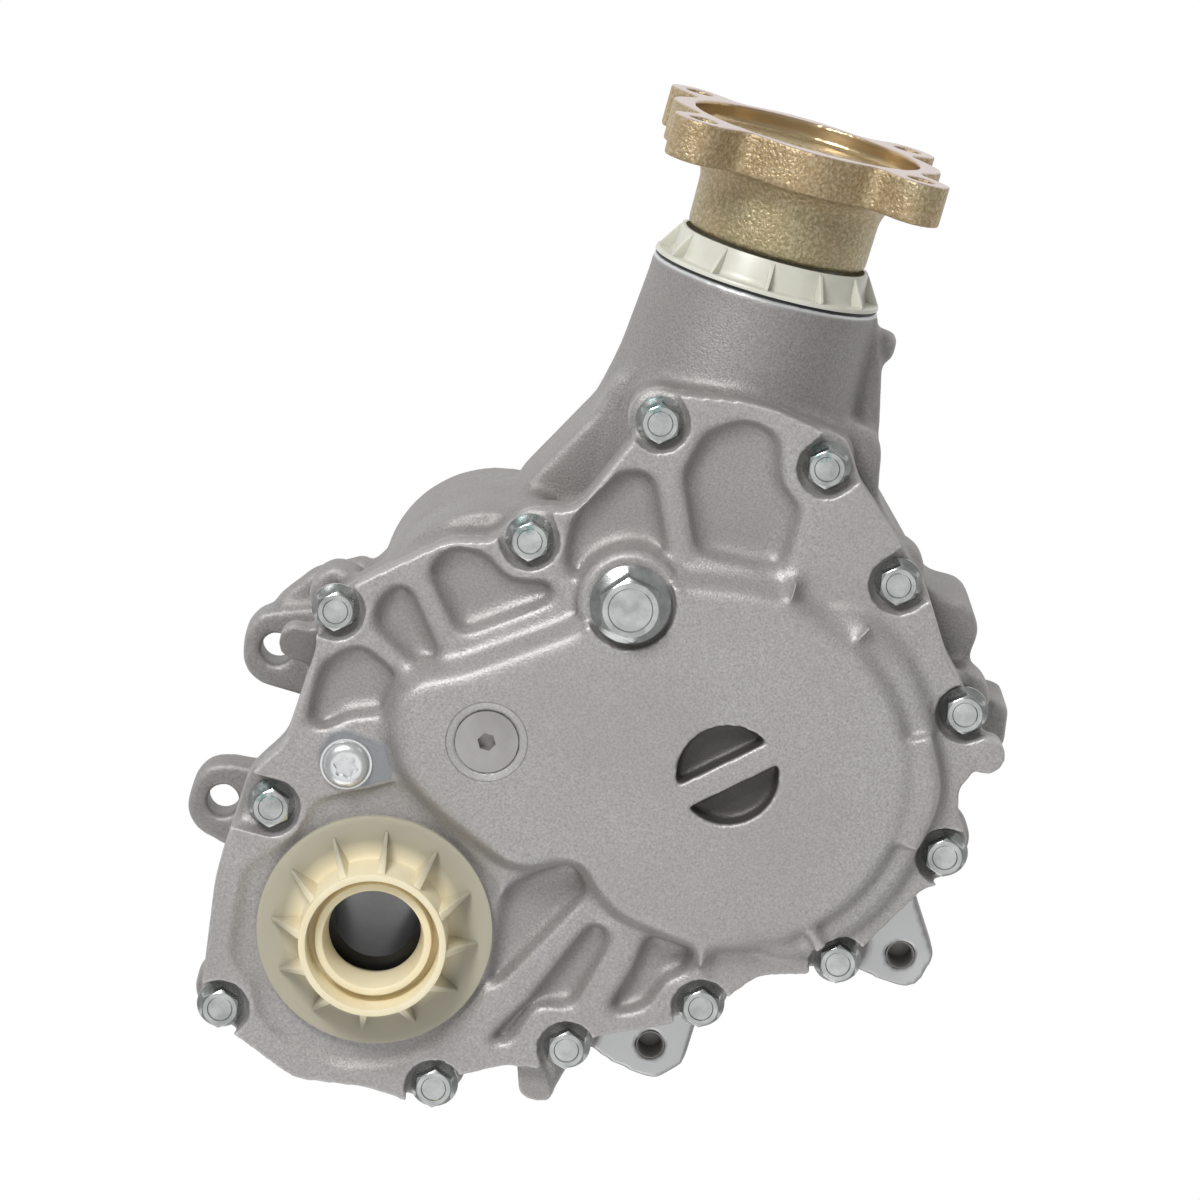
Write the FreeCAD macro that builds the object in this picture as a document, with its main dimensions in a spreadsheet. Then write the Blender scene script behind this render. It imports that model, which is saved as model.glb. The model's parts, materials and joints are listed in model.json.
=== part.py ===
import FreeCAD, Part
import math
import os

import Sketcher
from FreeCAD import Placement, Rotation, Vector

# Power transfer unit, in millimetres. Z points up through the cover, Y runs along the pinion
# towards the output flange. The origin is on the input axis, in the transaxle mating face.

SIZES = {
    # heights of the casting faces above the transaxle face
    "joint_height": 105.0,
    "seat_height": 109.5,
    "pad_height": 117.0,
    "ledge_height": 122.5,
    "dome_height": 128.0,
    "casting_floor": 6.0,
    "bearing_floor": 12.0,
    "bowl_break": 40.0,
    "bowl_shoulder": 64.0,
    "foot_depth": 10.0,
    "casting_wall": 5.0,
    "flange_depth": 12.0,
    # shaft axes
    "idler_direction": 76.1,
    "ring_direction": 7.25,
    "mesh_gap": 0.2,
    "hypoid_offset": 31.1,
    "pinion_axis_height": 56.0,
    # cover joint fasteners
    "bolt_radius": 4.0,
    "bolt_hole_radius": 4.3,
    "bolt_length": 26.0,
    "bolt_flange_radius": 9.0,
    "bolt_head_depth": 8.2,
    "bolt_hex_flats": 13.0,
    "bolt_pocket_radius": 10.8,
    "bolt_boss_radius": 11.8,
    "dowel_radius": 5.8,
    "dowel_length": 9.0,
    # dome and recesses of the cover
    "dome_radius": 65.0,
    "dome_hollow_radius": 57.0,
    "ledge_radius": 77.0,
    "bar_recess_radius": 18.8,
    "bar_recess_depth": 8.0,
    "bar_width": 9.0,
    "bar_angle": 42.0,
    "pocket_floor": 109.0,
    "seal_recess_depth": 3.0,
    "seal_boss_height": 114.8,
    "seal_boss_radius": 42.0,
    "plug_x": 57.3,
    "plug_y": 146.2,
    "plug_boss_radius": 17.5,
    "plug_boss_height": 124.0,
    "plug_thread_radius": 9.0,
    "plug_flange_radius": 14.8,
    "plug_hex_flats": 21.0,
    "plug_washer_thickness": 1.5,
    "check_x": -26.4,
    "check_y": 59.0,
    "check_thread_radius": 5.0,
    "check_head_radius": 8.7,
    "check_pad_height": 117.8,
    "check_washer_thickness": 1.2,
    # transfer gears
    "gear_module": 3.0,
    "gear_width": 22.0,
    "gear_base": 14.0,
    "gear_addendum": 2.7,
    "gear_dedendum": 3.6,
    "helix_angle": 15.0,
    "input_teeth": 23.0,
    "idler_teeth": 34.0,
    "driven_teeth": 25.0,
    # hypoid pair
    "ring_teeth": 31.0,
    "pinion_teeth": 11.0,
    "ring_inner_radius": 50.0,
    "ring_outer_radius": 71.0,
    "pinion_start": 134.0,
    "pinion_small_radius": 24.1,
    "pinion_end": 158.0,
    "pinion_large_radius": 32.0,
    "pinion_addendum": 4.2,
    "pinion_dedendum": 2.2,
    "ring_spiral_angle": 10.0,
    "ring_tooth_root": 0.26,
    "ring_tooth_tip": 0.10,
    "pinion_tooth_root": 0.25,
    "pinion_tooth_tip": 0.095,
    "pinion_set": -3.2,
    # input shaft line
    "halfshaft_bore_radius": 15.5,
    "input_journal_radius": 22.5,
    "input_gear_seat_radius": 25.0,
    "input_cup_radius": 37.5,
    "input_bearing_width": 16.0,
    "input_upper_seat": 98.0,
    "input_seal_radius": 34.0,
    "input_seal_journal": 20.0,
    "halfshaft_seal_radius": 36.0,
    "halfshaft_seal_floor": 105.5,
    "pilot_radius": 43.0,
    "ring_foot_radius": 44.0,
    "input_chamber_radius": 49.0,
    "idler_chamber_radius": 56.5,
    "ring_chamber_lower": 55.0,
    "ring_chamber_upper": 75.0,
    # idler line
    "idler_shaft_radius": 11.5,
    "idler_hub_bore": 15.0,
    "idler_hub_radius": 19.0,
    "idler_hub_top": 96.0,
    # ring gear shaft line
    "ring_journal_radius": 15.0,
    "ring_gear_seat_radius": 18.0,
    "ring_cup_radius": 27.5,
    "ring_bearing_width": 17.0,
    "ring_upper_journal_radius": 17.5,
    "ring_upper_cup_radius": 31.0,
    "ring_upper_seat": 117.0,
    "ring_hub_radius": 40.0,
    "ring_flange_radius": 49.0,
    "ring_back_height": 100.0,
    # pinion line, distances along Y
    "head_bearing_start": 162.0,
    "head_bearing_width": 20.0,
    "shim_thickness": 2.0,
    "head_bearing_bore": 17.5,
    "head_cup_radius": 38.0,
    "tail_bearing_end": 240.0,
    "tail_bearing_width": 19.0,
    "tail_bearing_bore": 15.0,
    "tail_cup_radius": 34.0,
    "pinion_seal_start": 248.0,
    "pinion_seal_radius": 37.0,
    "seal_brim_radius": 42.6,
    "neck_end": 263.0,
    "neck_rim_radius": 43.0,
    "neck_root_radius": 45.5,
    "hub_journal_radius": 25.0,
    "hub_radius": 34.0,
    "hub_start": 276.0,
    "flange_back": 303.8,
    "flange_face": 319.3,
    "flange_rim_radius": 50.0,
    "flange_bolt_radius": 57.5,
    "flange_lobe_radius": 10.5,
    "flange_hole_radius": 5.2,
    "flange_pilot_radius": 43.0,
    "flange_pilot_depth": 7.0,
    "shield_radius": 43.0,
    # transaxle ears and bracket lugs
    "ear_radius": 13.0,
    "ear_thickness": 18.0,
    "ear_hole_radius": 6.3,
    "lug_height": 90.0,
    "lug_thickness": 16.0,
    "lug_thread_radius": 5.1,
    # seal protector
    "protector_radius": 43.7,
    "protector_hole_radius": 17.0,
    "protector_tube_radius": 22.0,
    "protector_rim_height": 118.0,
    "protector_dish_height": 116.4,
    "protector_tube_top": 129.6,
    "protector_collar_top": 137.2,
    "protector_collar_radius": 27.5,
    "protector_collar_bore": 24.5,
    "protector_groove_floor": 121.5,
    "protector_rib_reach": 38.4,
    # running and seating clearances
    "running_gap": 0.05,
    "seat_gap": 0.02,
    "free_gap": 0.3,
}



def place_axes(sizes):
    """Shaft axes that follow from the gear pairs, seen from above."""
    half_module = sizes["gear_module"] / 2
    first = half_module * (sizes["input_teeth"] + sizes["idler_teeth"]) + sizes["mesh_gap"]
    second = half_module * (sizes["idler_teeth"] + sizes["driven_teeth"]) + sizes["mesh_gap"]
    lean = math.radians(sizes["idler_direction"])
    turn = math.radians(sizes["ring_direction"])
    sizes["idler_axis_x"] = first * math.cos(lean)
    sizes["idler_axis_y"] = first * math.sin(lean)
    sizes["ring_axis_x"] = sizes["idler_axis_x"] + second * math.cos(turn)
    sizes["ring_axis_y"] = sizes["idler_axis_y"] + second * math.sin(turn)
    sizes["pinion_axis_x"] = sizes["ring_axis_x"] - sizes["hypoid_offset"]


place_axes(SIZES)
doc = FreeCAD.newDocument("transfer_unit")
sheet = doc.addObject("Spreadsheet::Sheet", "sizes")
for row, (alias, number) in enumerate(SIZES.items(), start=1):
    sheet.set("A%d" % row, alias)
    sheet.set("B%d" % row, "%.6f" % number)
    sheet.setAlias("B%d" % row, alias)
doc.recompute()


class Size:
    """A length with its number and the formula that ties it to the sheet."""

    def __init__(self, number, formula):
        self.number = number
        self.formula = formula

    def joined(self, other, sign, number):
        right = other.formula if isinstance(other, Size) else "%.6f" % other
        return Size(number, "(%s %s %s)" % (self.formula, sign, right))

    def __add__(self, other):
        return self.joined(other, "+", self.number + float(other))

    def __sub__(self, other):
        return self.joined(other, "-", self.number - float(other))

    def __mul__(self, other):
        return self.joined(other, "*", self.number * float(other))

    def __float__(self):
        return float(self.number)


def size(alias):
    return Size(float(sheet.get(alias)), "sizes." + alias)


def as_size(value):
    return value if isinstance(value, Size) else Size(float(value), "%.6f" % value)


# named lengths that several pieces share
JOINT = size("joint_height")
SEAT = size("seat_height")
PAD = size("pad_height")
LEDGE = size("ledge_height")
DOME = size("dome_height")
FOOT = size("foot_depth") * -1.0
BEARING_FLOOR = size("bearing_floor")
RUN = size("running_gap")
FIT = size("seat_gap")
FREE = size("free_gap")

input_axis = Vector(0, 0, 0)
idler_axis = Vector(float(size("idler_axis_x")), float(size("idler_axis_y")), 0)
ring_axis = Vector(float(size("ring_axis_x")), float(size("ring_axis_y")), 0)
pinion_origin = Vector(float(size("pinion_axis_x")), 0, float(size("pinion_axis_height")))

UPRIGHT = Rotation(0, 0, 0, 1)
ALONG_Y = Rotation(Vector(1, 0, 0), -90)

# bolt centres round the cover and the side that each bolt pocket opens to, in degrees
COVER_BOLTS = [
    (50.4, 211.5, 135),
    (113.0, 211.5, 55),
    (150.0, 177.0, 50),
    (187.0, 137.0, 38),
    (195.2, 83.0, -5),
    (168.7, 33.0, -48),
    (124.4, 3.0, -58),
    (80.7, -26.0, -58),
    (37.0, -53.7, -62),
    (-47.5, -44.8, -140),
    (-48.8, 35.0, 180),
    (-44.8, 113.0, 160),
    (16.5, 157.0, 122),
]
DOWELED_BOLTS = (3, 9)

# outline of the cover at pad height: x, y and corner radius
COVER_OUTLINE = [
    (43, 203, 6),
    (46, 222, 10),
    (83, 228.5, 60),
    (118, 222.5, 9),
    (127, 208.5, 8),
    (150, 188.5, 25),
    (162, 176, 14),
    (175, 155.5, 30),
    (195.5, 134, 8),
    (196, 116, 4),
    (193, 109, 6),
    (196, 98, 8),
    (203, 90, 6),
    (202, 76, 8),
    (191, 69, 10),
    (176, 42, 14),
    (174, 29, 7),
    (160, 26.5, 8),
    (142, 21, 12),
    (133, 10, 10),
    (132, -2, 8),
    (118, -5, 10),
    (88, -19, 10),
    (84, -34, 7),
    (60, -38, 12),
    (44, -47, 8),
    (38, -62, 8),
    (13, -60, 8),
    (-14, -64, 20),
    (-38, -54, 12),
    (-55, -50, 9),
    (-57, -32, 12),
    (-62, 5, 60),
    (-60, 44, 10),
    (-50, 60, 12),
    (-48, 98, 6),
    (-52, 110, 8),
    (-40, 125, 8),
    (-12, 149, 18),
    (4, 153, 10),
    (12, 167, 8),
    (30, 172, 12),
]


def check_state(note):
    """Stop if any object of the document has failed."""
    for thing in doc.Objects:
        if "Invalid" in thing.State or "Error" in thing.State:
            raise ValueError("%s: %s failed" % (note, thing.Name))


def merge_faces():
    """Merge the split faces of each finished body once, at its last feature."""
    for thing in doc.Objects:
        if thing.TypeId == "PartDesign::Body":
            thing.Tip.Refine = True


def rounded_edges(corners):
    """Edges of a closed outline whose corners are (x, y, radius)."""
    count = len(corners)
    starts = []
    ends = []
    middles = []
    for index in range(count):
        x, y, radius = corners[index]
        here = Vector(x, y, 0)
        before = Vector(corners[index - 1][0], corners[index - 1][1], 0) - here
        after = Vector(corners[(index + 1) % count][0], corners[(index + 1) % count][1], 0) - here
        half_turn = before.getAngle(after) / 2
        if radius <= 0:
            starts.append(here)
            ends.append(here)
            middles.append(None)
            continue
        reach = radius / math.tan(half_turn)
        reach = min(reach, 0.49 * before.Length, 0.49 * after.Length)
        tight = reach * math.tan(half_turn)
        before.normalize()
        after.normalize()
        bisector = before + after
        bisector.normalize()
        starts.append(here + before * reach)
        ends.append(here + after * reach)
        middles.append(here + bisector * (tight / math.sin(half_turn) - tight))
    edges = []
    for index in range(count):
        if middles[index] is not None:
            edges.append(Part.Arc(starts[index], middles[index], ends[index]))
        after = starts[(index + 1) % count]
        if ends[index].distanceToPoint(after) > 0.001:
            edges.append(Part.LineSegment(ends[index], after))
    return edges


def outline_wire(corners):
    return Part.Wire(Part.__sortEdges__([edge.toShape() for edge in rounded_edges(corners)]))


def wire_edges(wire):
    """Sketch geometry that follows a wire of lines and arcs."""
    edges = []
    for edge in wire.OrderedEdges:
        first = edge.valueAt(edge.FirstParameter)
        last = edge.valueAt(edge.LastParameter)
        if edge.Curve.TypeId == "Part::GeomLine":
            edges.append(Part.LineSegment(first, last))
        elif first.distanceToPoint(last) < 0.0001:
            edges.append(Part.Circle(edge.Curve.Center, Vector(0, 0, 1), edge.Curve.Radius))
        else:
            middle = edge.valueAt((edge.FirstParameter + edge.LastParameter) / 2)
            edges.append(Part.Arc(first, middle, last))
    return edges


def origin_plane(body, role):
    for feature in body.Origin.OriginFeatures:
        if feature.Role == role:
            return feature
    raise ValueError("no plane " + role)


def new_sketch(body, name, role="XY_Plane", offset=0.0):
    sketch = body.newObject("Sketcher::SketchObject", name)
    sketch.AttachmentSupport = (origin_plane(body, role), [""])
    sketch.MapMode = "FlatFace"
    lift = as_size(offset)
    sketch.AttachmentOffset = Placement(Vector(0, 0, float(lift)), UPRIGHT)
    if "sizes." in lift.formula:
        sketch.setExpression("AttachmentOffset.Base.z", lift.formula)
    return sketch


def pin_point(sketch, geometry, end, across, up):
    """Tie a sketch point to its two lengths in the sheet."""
    for axis, kind, value in ((-2, "DistanceX", as_size(across)), (-1, "DistanceY", as_size(up))):
        if abs(value.number) < 1e-9:
            sketch.addConstraint(Sketcher.Constraint("PointOnObject", geometry, end, axis))
            continue
        row = sketch.addConstraint(Sketcher.Constraint(kind, -1, 1, geometry, end, value.number))
        if "sizes." in value.formula:
            sketch.setExpression("Constraints[%d]" % row, value.formula)


def pinned_polygon(sketch, points):
    """A closed polygon whose corners are all tied to the sheet."""
    count = len(points)
    for index in range(count):
        here = points[index]
        after = points[(index + 1) % count]
        start = Vector(float(here[0]), float(here[1]), 0)
        end = Vector(float(after[0]), float(after[1]), 0)
        sketch.addGeometry(Part.LineSegment(start, end), False)
    for index in range(count):
        after = (index + 1) % count
        sketch.addConstraint(Sketcher.Constraint("Coincident", index, 2, after, 1))
        pin_point(sketch, index, 1, points[index][0], points[index][1])


def pinned_circle(sketch, across, up, radius):
    """A circle whose centre and radius are tied to the sheet."""
    radius = as_size(radius)
    centre = Vector(float(across), float(up), 0)
    row = sketch.addGeometry(Part.Circle(centre, Vector(0, 0, 1), float(radius)), False)
    pin_point(sketch, row, 3, across, up)
    tie = sketch.addConstraint(Sketcher.Constraint("Radius", row, radius.number))
    if "sizes." in radius.formula:
        sketch.setExpression("Constraints[%d]" % tie, radius.formula)


def extrude(body, sketch, name, length, cut=False, taper=0.0):
    """Pad a sketch along +Z, or pocket it downward."""
    feature = body.newObject("PartDesign::Pocket" if cut else "PartDesign::Pad", name)
    feature.Profile = sketch
    length = as_size(length)
    feature.Length = float(length)
    if "sizes." in length.formula:
        feature.setExpression("Length", length.formula)
    if taper:
        feature.TaperAngle = taper
    feature.Refine = False
    sketch.Visibility = False
    return feature


def add_prism(body, name, edges, base, top, taper=0.0):
    """Pad an outline from one height to another."""
    base = as_size(base)
    sketch = new_sketch(body, name + "_outline", offset=base)
    sketch.addGeometry(edges, False)
    return extrude(body, sketch, name, as_size(top) - base, taper=taper)


def cut_prism(body, name, edges, top, floor, taper=0.0):
    """Pocket an outline from a top height down to a floor."""
    top = as_size(top)
    sketch = new_sketch(body, name + "_outline", offset=top)
    sketch.addGeometry(edges, False)
    return extrude(body, sketch, name, top - as_size(floor), cut=True, taper=taper)


def add_discs(body, name, discs, base, top, taper=0.0):
    """Pad one or more circles (x, y, radius) from one height to another."""
    base = as_size(base)
    sketch = new_sketch(body, name + "_circles", offset=base)
    for x, y, radius in discs:
        pinned_circle(sketch, x, y, radius)
    return extrude(body, sketch, name, as_size(top) - base, taper=taper)


def cut_discs(body, name, discs, top, floor):
    """Pocket one or more circles from a top height down to a floor."""
    top = as_size(top)
    sketch = new_sketch(body, name + "_circles", offset=top)
    for x, y, radius in discs:
        pinned_circle(sketch, x, y, radius)
    return extrude(body, sketch, name, top - as_size(floor), cut=True)


def spin(body, name, points, cut=False, centre=None):
    """Turn a profile of (radius, height) about an upright axis of the body."""
    sketch = body.newObject("Sketcher::SketchObject", name + "_profile")
    sketch.AttachmentSupport = (origin_plane(body, "XZ_Plane"), [""])
    sketch.MapMode = "FlatFace"
    if centre:
        sketch.AttachmentOffset = Placement(Vector(float(centre[0]), 0, -float(centre[1])), UPRIGHT)
        sketch.setExpression("AttachmentOffset.Base.x", as_size(centre[0]).formula)
        sketch.setExpression("AttachmentOffset.Base.z", "-(%s)" % as_size(centre[1]).formula)
    pinned_polygon(sketch, points)
    turn = body.newObject("PartDesign::Groove" if cut else "PartDesign::Revolution", name)
    turn.Profile = sketch
    turn.ReferenceAxis = (sketch, ["V_Axis"])
    turn.Angle = 360
    turn.Refine = False
    sketch.Visibility = False
    return turn


def spin_along_y(body, name, points, cut=False):
    """Turn a profile of (radius, distance along Y) about the pinion axis."""
    sketch = new_sketch(body, name + "_profile", offset=size("pinion_axis_height"))
    sketch.AttachmentOffset = Placement(pinion_origin, UPRIGHT)
    sketch.setExpression("AttachmentOffset.Base.x", "sizes.pinion_axis_x")
    sketch.setExpression("AttachmentOffset.Base.z", "sizes.pinion_axis_height")
    pinned_polygon(sketch, points)
    turn = body.newObject("PartDesign::Groove" if cut else "PartDesign::Revolution", name)
    turn.Profile = sketch
    turn.ReferenceAxis = (sketch, ["V_Axis"])
    turn.Angle = 360
    turn.Refine = False
    sketch.Visibility = False
    return turn


def new_body(label, base=Vector(0, 0, 0), turned=UPRIGHT):
    body = doc.addObject("PartDesign::Body", label)
    body.Label = label
    body.Placement = Placement(base, turned)
    sub_parts.append(body)
    return body


def turned_piece(label, points, base=Vector(0, 0, 0), turned=UPRIGHT):
    """A round piece: one profile turned about its own axis."""
    body = new_body(label, base, turned)
    spin(body, label + "_form", points)
    return body


def shape_piece(label, shape, base=Vector(0, 0, 0), turned=UPRIGHT):
    """A piece whose shape comes straight from a list of sections."""
    piece = doc.addObject("Part::Feature", label)
    piece.Label = label
    piece.Shape = shape
    piece.Placement = Placement(base, turned)
    sub_parts.append(piece)
    return piece


sub_parts = []


def bolt_discs(radius):
    return [(x, y, radius) for x, y, side in COVER_BOLTS]


def joint_wire():
    """Cover outline joined with the round bosses of its bolts."""
    plate = Part.Face(outline_wire(COVER_OUTLINE))
    for x, y, side in COVER_BOLTS:
        rim = Part.Wire(Part.makeCircle(float(size("bolt_boss_radius")), Vector(x, y, 0)))
        plate = plate.fuse(Part.Face(rim))
    return plate.removeSplitter().Faces[0].OuterWire


def pocket_edges(x, y, side):
    """Bolt pocket: a round end at the bolt that runs out through the edge of the flange."""
    radius = float(size("bolt_pocket_radius"))
    out = Vector(math.cos(math.radians(side)), math.sin(math.radians(side)), 0)
    across = Vector(-out.y, out.x, 0) * radius
    centre = Vector(x, y, 0)
    mouth = centre + out * (radius * 1.7)
    return [
        Part.Arc(centre + across, centre - out * radius, centre - across),
        Part.LineSegment(centre - across, mouth - across),
        Part.LineSegment(mouth - across, mouth + across),
        Part.LineSegment(mouth + across, centre + across),
    ]


def dome_rib_edges(inner, outer, first, last):
    """Band that runs outward from the dome between two angles about the ring gear axis."""
    half = math.radians(last - first) / 2
    middle = math.radians(first + last) / 2
    corners = []
    for radius, angle, rounding in ((inner, middle - half, 0), (outer, middle - half, 1.5),
                                    (outer / math.cos(half), middle, outer * 0.9),
                                    (outer, middle + half, 1.5), (inner, middle + half, 0)):
        corners.append((ring_axis.x + radius * math.cos(angle), ring_axis.y + radius * math.sin(angle), rounding))
    return rounded_edges(corners)


def tangent_corners(centre, radius, first, last, count):
    """Corners of the polygon that wraps an arc, so that rounding them gives the arc back."""
    step = (last - first) / count
    reach = radius / math.cos(math.radians(step / 2))
    corners = []
    for index in range(count):
        turn = math.radians(first + (index + 0.5) * step)
        corners.append((centre.x + reach * math.cos(turn), centre.y + reach * math.sin(turn), radius))
    return corners


# neck flare of the housing at pinion height, seen from above
NECK_FLARE = [
    (33, 222, 10),
    (29, 203, 12),
    (10, 168, 14),
    (0, 130, 6),
    (60, 110, 6),
    (150, 110, 6),
    (186, 140, 10),
    (189, 160, 9),
    (182, 171, 10),
    (168, 169, 12),
    (138, 199, 14),
    (133, 224, 12),
    (80, 226, 8),
]

# cast pockets of the cover: corners with radius
POCKETS = {
    "pocket_left": [(-45, 68, 4), (-45, 93, 10), (-33, 104, 5), (-14, 95, 3), (-13.5, 81.5, 3),
                    (-28, 76.5, 8), (-38, 68.5, 4)],
    "pocket_upper_left": [(-24, 133, 5), (-31.5, 120, 7), (-30, 111, 3), (-8, 98.5, 4), (-1, 104.5, 4)],
    "pocket_idler": [(-17, 137, 5), (-11, 148, 8), (2, 149, 8), (13, 140.5, 12), (27, 145, 4),
                     (33, 139, 4), (1, 115.5, 4)],
    "pocket_plug": [(53, 194, 6), (41, 191, 10), (29, 170, 10), (31, 150, 4), (40, 146, 2),
                    (56, 150, 2), (69, 160, 2)],
    "pocket_neck": [(63, 196, 3), (67, 213, 8), (80, 221.5, 8), (93, 219.5, 7), (98.5, 202, 8),
                    (108.5, 195, 3), (108.5, 170, 2), (76, 168, 2)],
    "pocket_lower_right": [(98, 33, 2), (115.5, 33, 2), (117, 15.5, 3), (109, 10, 5), (105, -3, 8),
                           (89, -11, 3), (96, 10, 20)],
    "pocket_lower": [(77, 26, 4), (86, 21, 4), (80, -4, 5), (79, -10, 4), (65, -12, 6),
                     (60, -29, 5), (49, -34, 2), (62, -11, 20)],
    "pocket_bore_side": [(42, 28, 4), (54, 40, 6), (64, 49, 4), (76, 40, 4), (68, 26, 6), (50, -8, 8),
                         (45, -12, 4)],
}
SEAL_RECESS = [(-53, 10, 10), (-38, 26, 8), (-34, 42, 6), (-20, 50, 10), (-4, 58.5, 6), (6, 50, 8),
               (16, 44, 10), (40, 30, 10), (49, 5, 20), (43, -22, 10), (32, -40, 8), (19, -50, 6),
               (0, -56, 20), (-22, -51, 6), (-33, -44, 6), (-38, -33, 6), (-49, -25, 8)]
DOME_LEFT = [(83, 164, 6), (60, 160, 14), (37, 133, 6), (4, 109, 10), (-13, 101, 6), (-19, 90, 8),
             (-17, 76, 12), (-9, 61, 12), (4, 52, 8), (17, 45.5, 6), (40, 35.5, 8), (52, 37, 6),
             (63, 45, 5), (74, 34, 5), (84, 28, 6)]
LEDGE_LEFT = [(108, 150, 8), (100, 94, 2), (118, 40, 5)]
# bands that carry the dome across its ledge: first and last angle about the ring gear axis
DOME_RIBS = [(84.5, 88.5), (60.5, 64.5), (-9, 28), (-50, -44), (-84.5, -79.5)]
LUG_LEFT = [(91, -31, 4), (101, -35, 8), (118, -38, 9), (127, -28, 8), (128, 22, 2), (93, 22, 2)]
LUG_RIGHT = [(182, 24.5, 5), (203, 22, 8), (206.5, 38, 7), (194, 57, 8), (190, 68, 4), (160, 60, 2),
             (160, 34, 2)]
LUG_HOLES = [(112.8, -24.2), (193.8, 35.0)]
# transaxle ears: their bore, then the middle of the root inside the casting
EARS = [(-62.0, 68.7, -20.0, 75.0), (-66.9, 4.3, -26.8, 1.7), (56.0, -52.0, 22.4, -20.8)]


def ear_edges(x, y, root_x, root_y, ear_radius):
    """Transaxle ear: a round end that widens towards its root."""
    centre = Vector(x, y, 0)
    root = Vector(root_x, root_y, 0)
    out = centre - root
    out.normalize()
    side = Vector(-out.y, out.x, 0)
    tip = centre + out * ear_radius
    corners = []
    for point, rounding in ((tip + side * ear_radius, ear_radius), (tip - side * ear_radius, ear_radius),
                            (root - side * ear_radius * 1.8, 2), (root + side * ear_radius * 1.8, 2)):
        corners.append((point.x, point.y, rounding * 0.98))
    return rounded_edges(corners)


def bolt_rib_edges():
    """Ribs under the joint flange, from each bolt boss towards its nearest chamber."""
    centres = [input_axis, idler_axis, ring_axis, Vector(pinion_origin.x, 180, 0)]
    edges = []
    for x, y, side in COVER_BOLTS:
        bolt = Vector(x, y, 0)
        inward = min((centre - bolt for centre in centres), key=lambda reach: reach.Length)
        inward.normalize()
        across = Vector(-inward.y, inward.x, 0) * 4
        far = bolt + inward * 26
        ring = [bolt + across, bolt - across, far - across, far + across]
        edges += [Part.LineSegment(ring[step - 1], ring[step]) for step in range(4)]
    return edges


def chamber(body, name, spot, radius, shoulder=None):
    """Hollow a round gear chamber down to the casting floor."""
    floor = size("casting_floor")
    open_top = JOINT + 1
    points = [(0, floor), (radius, floor)]
    if shoulder:
        points += [(radius, size("bowl_break")), (shoulder, size("bowl_shoulder") + 2), (shoulder, open_top)]
    else:
        points.append((radius, open_top))
    spin(body, name, points + [(0, open_top)], cut=True, centre=spot)


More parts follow.
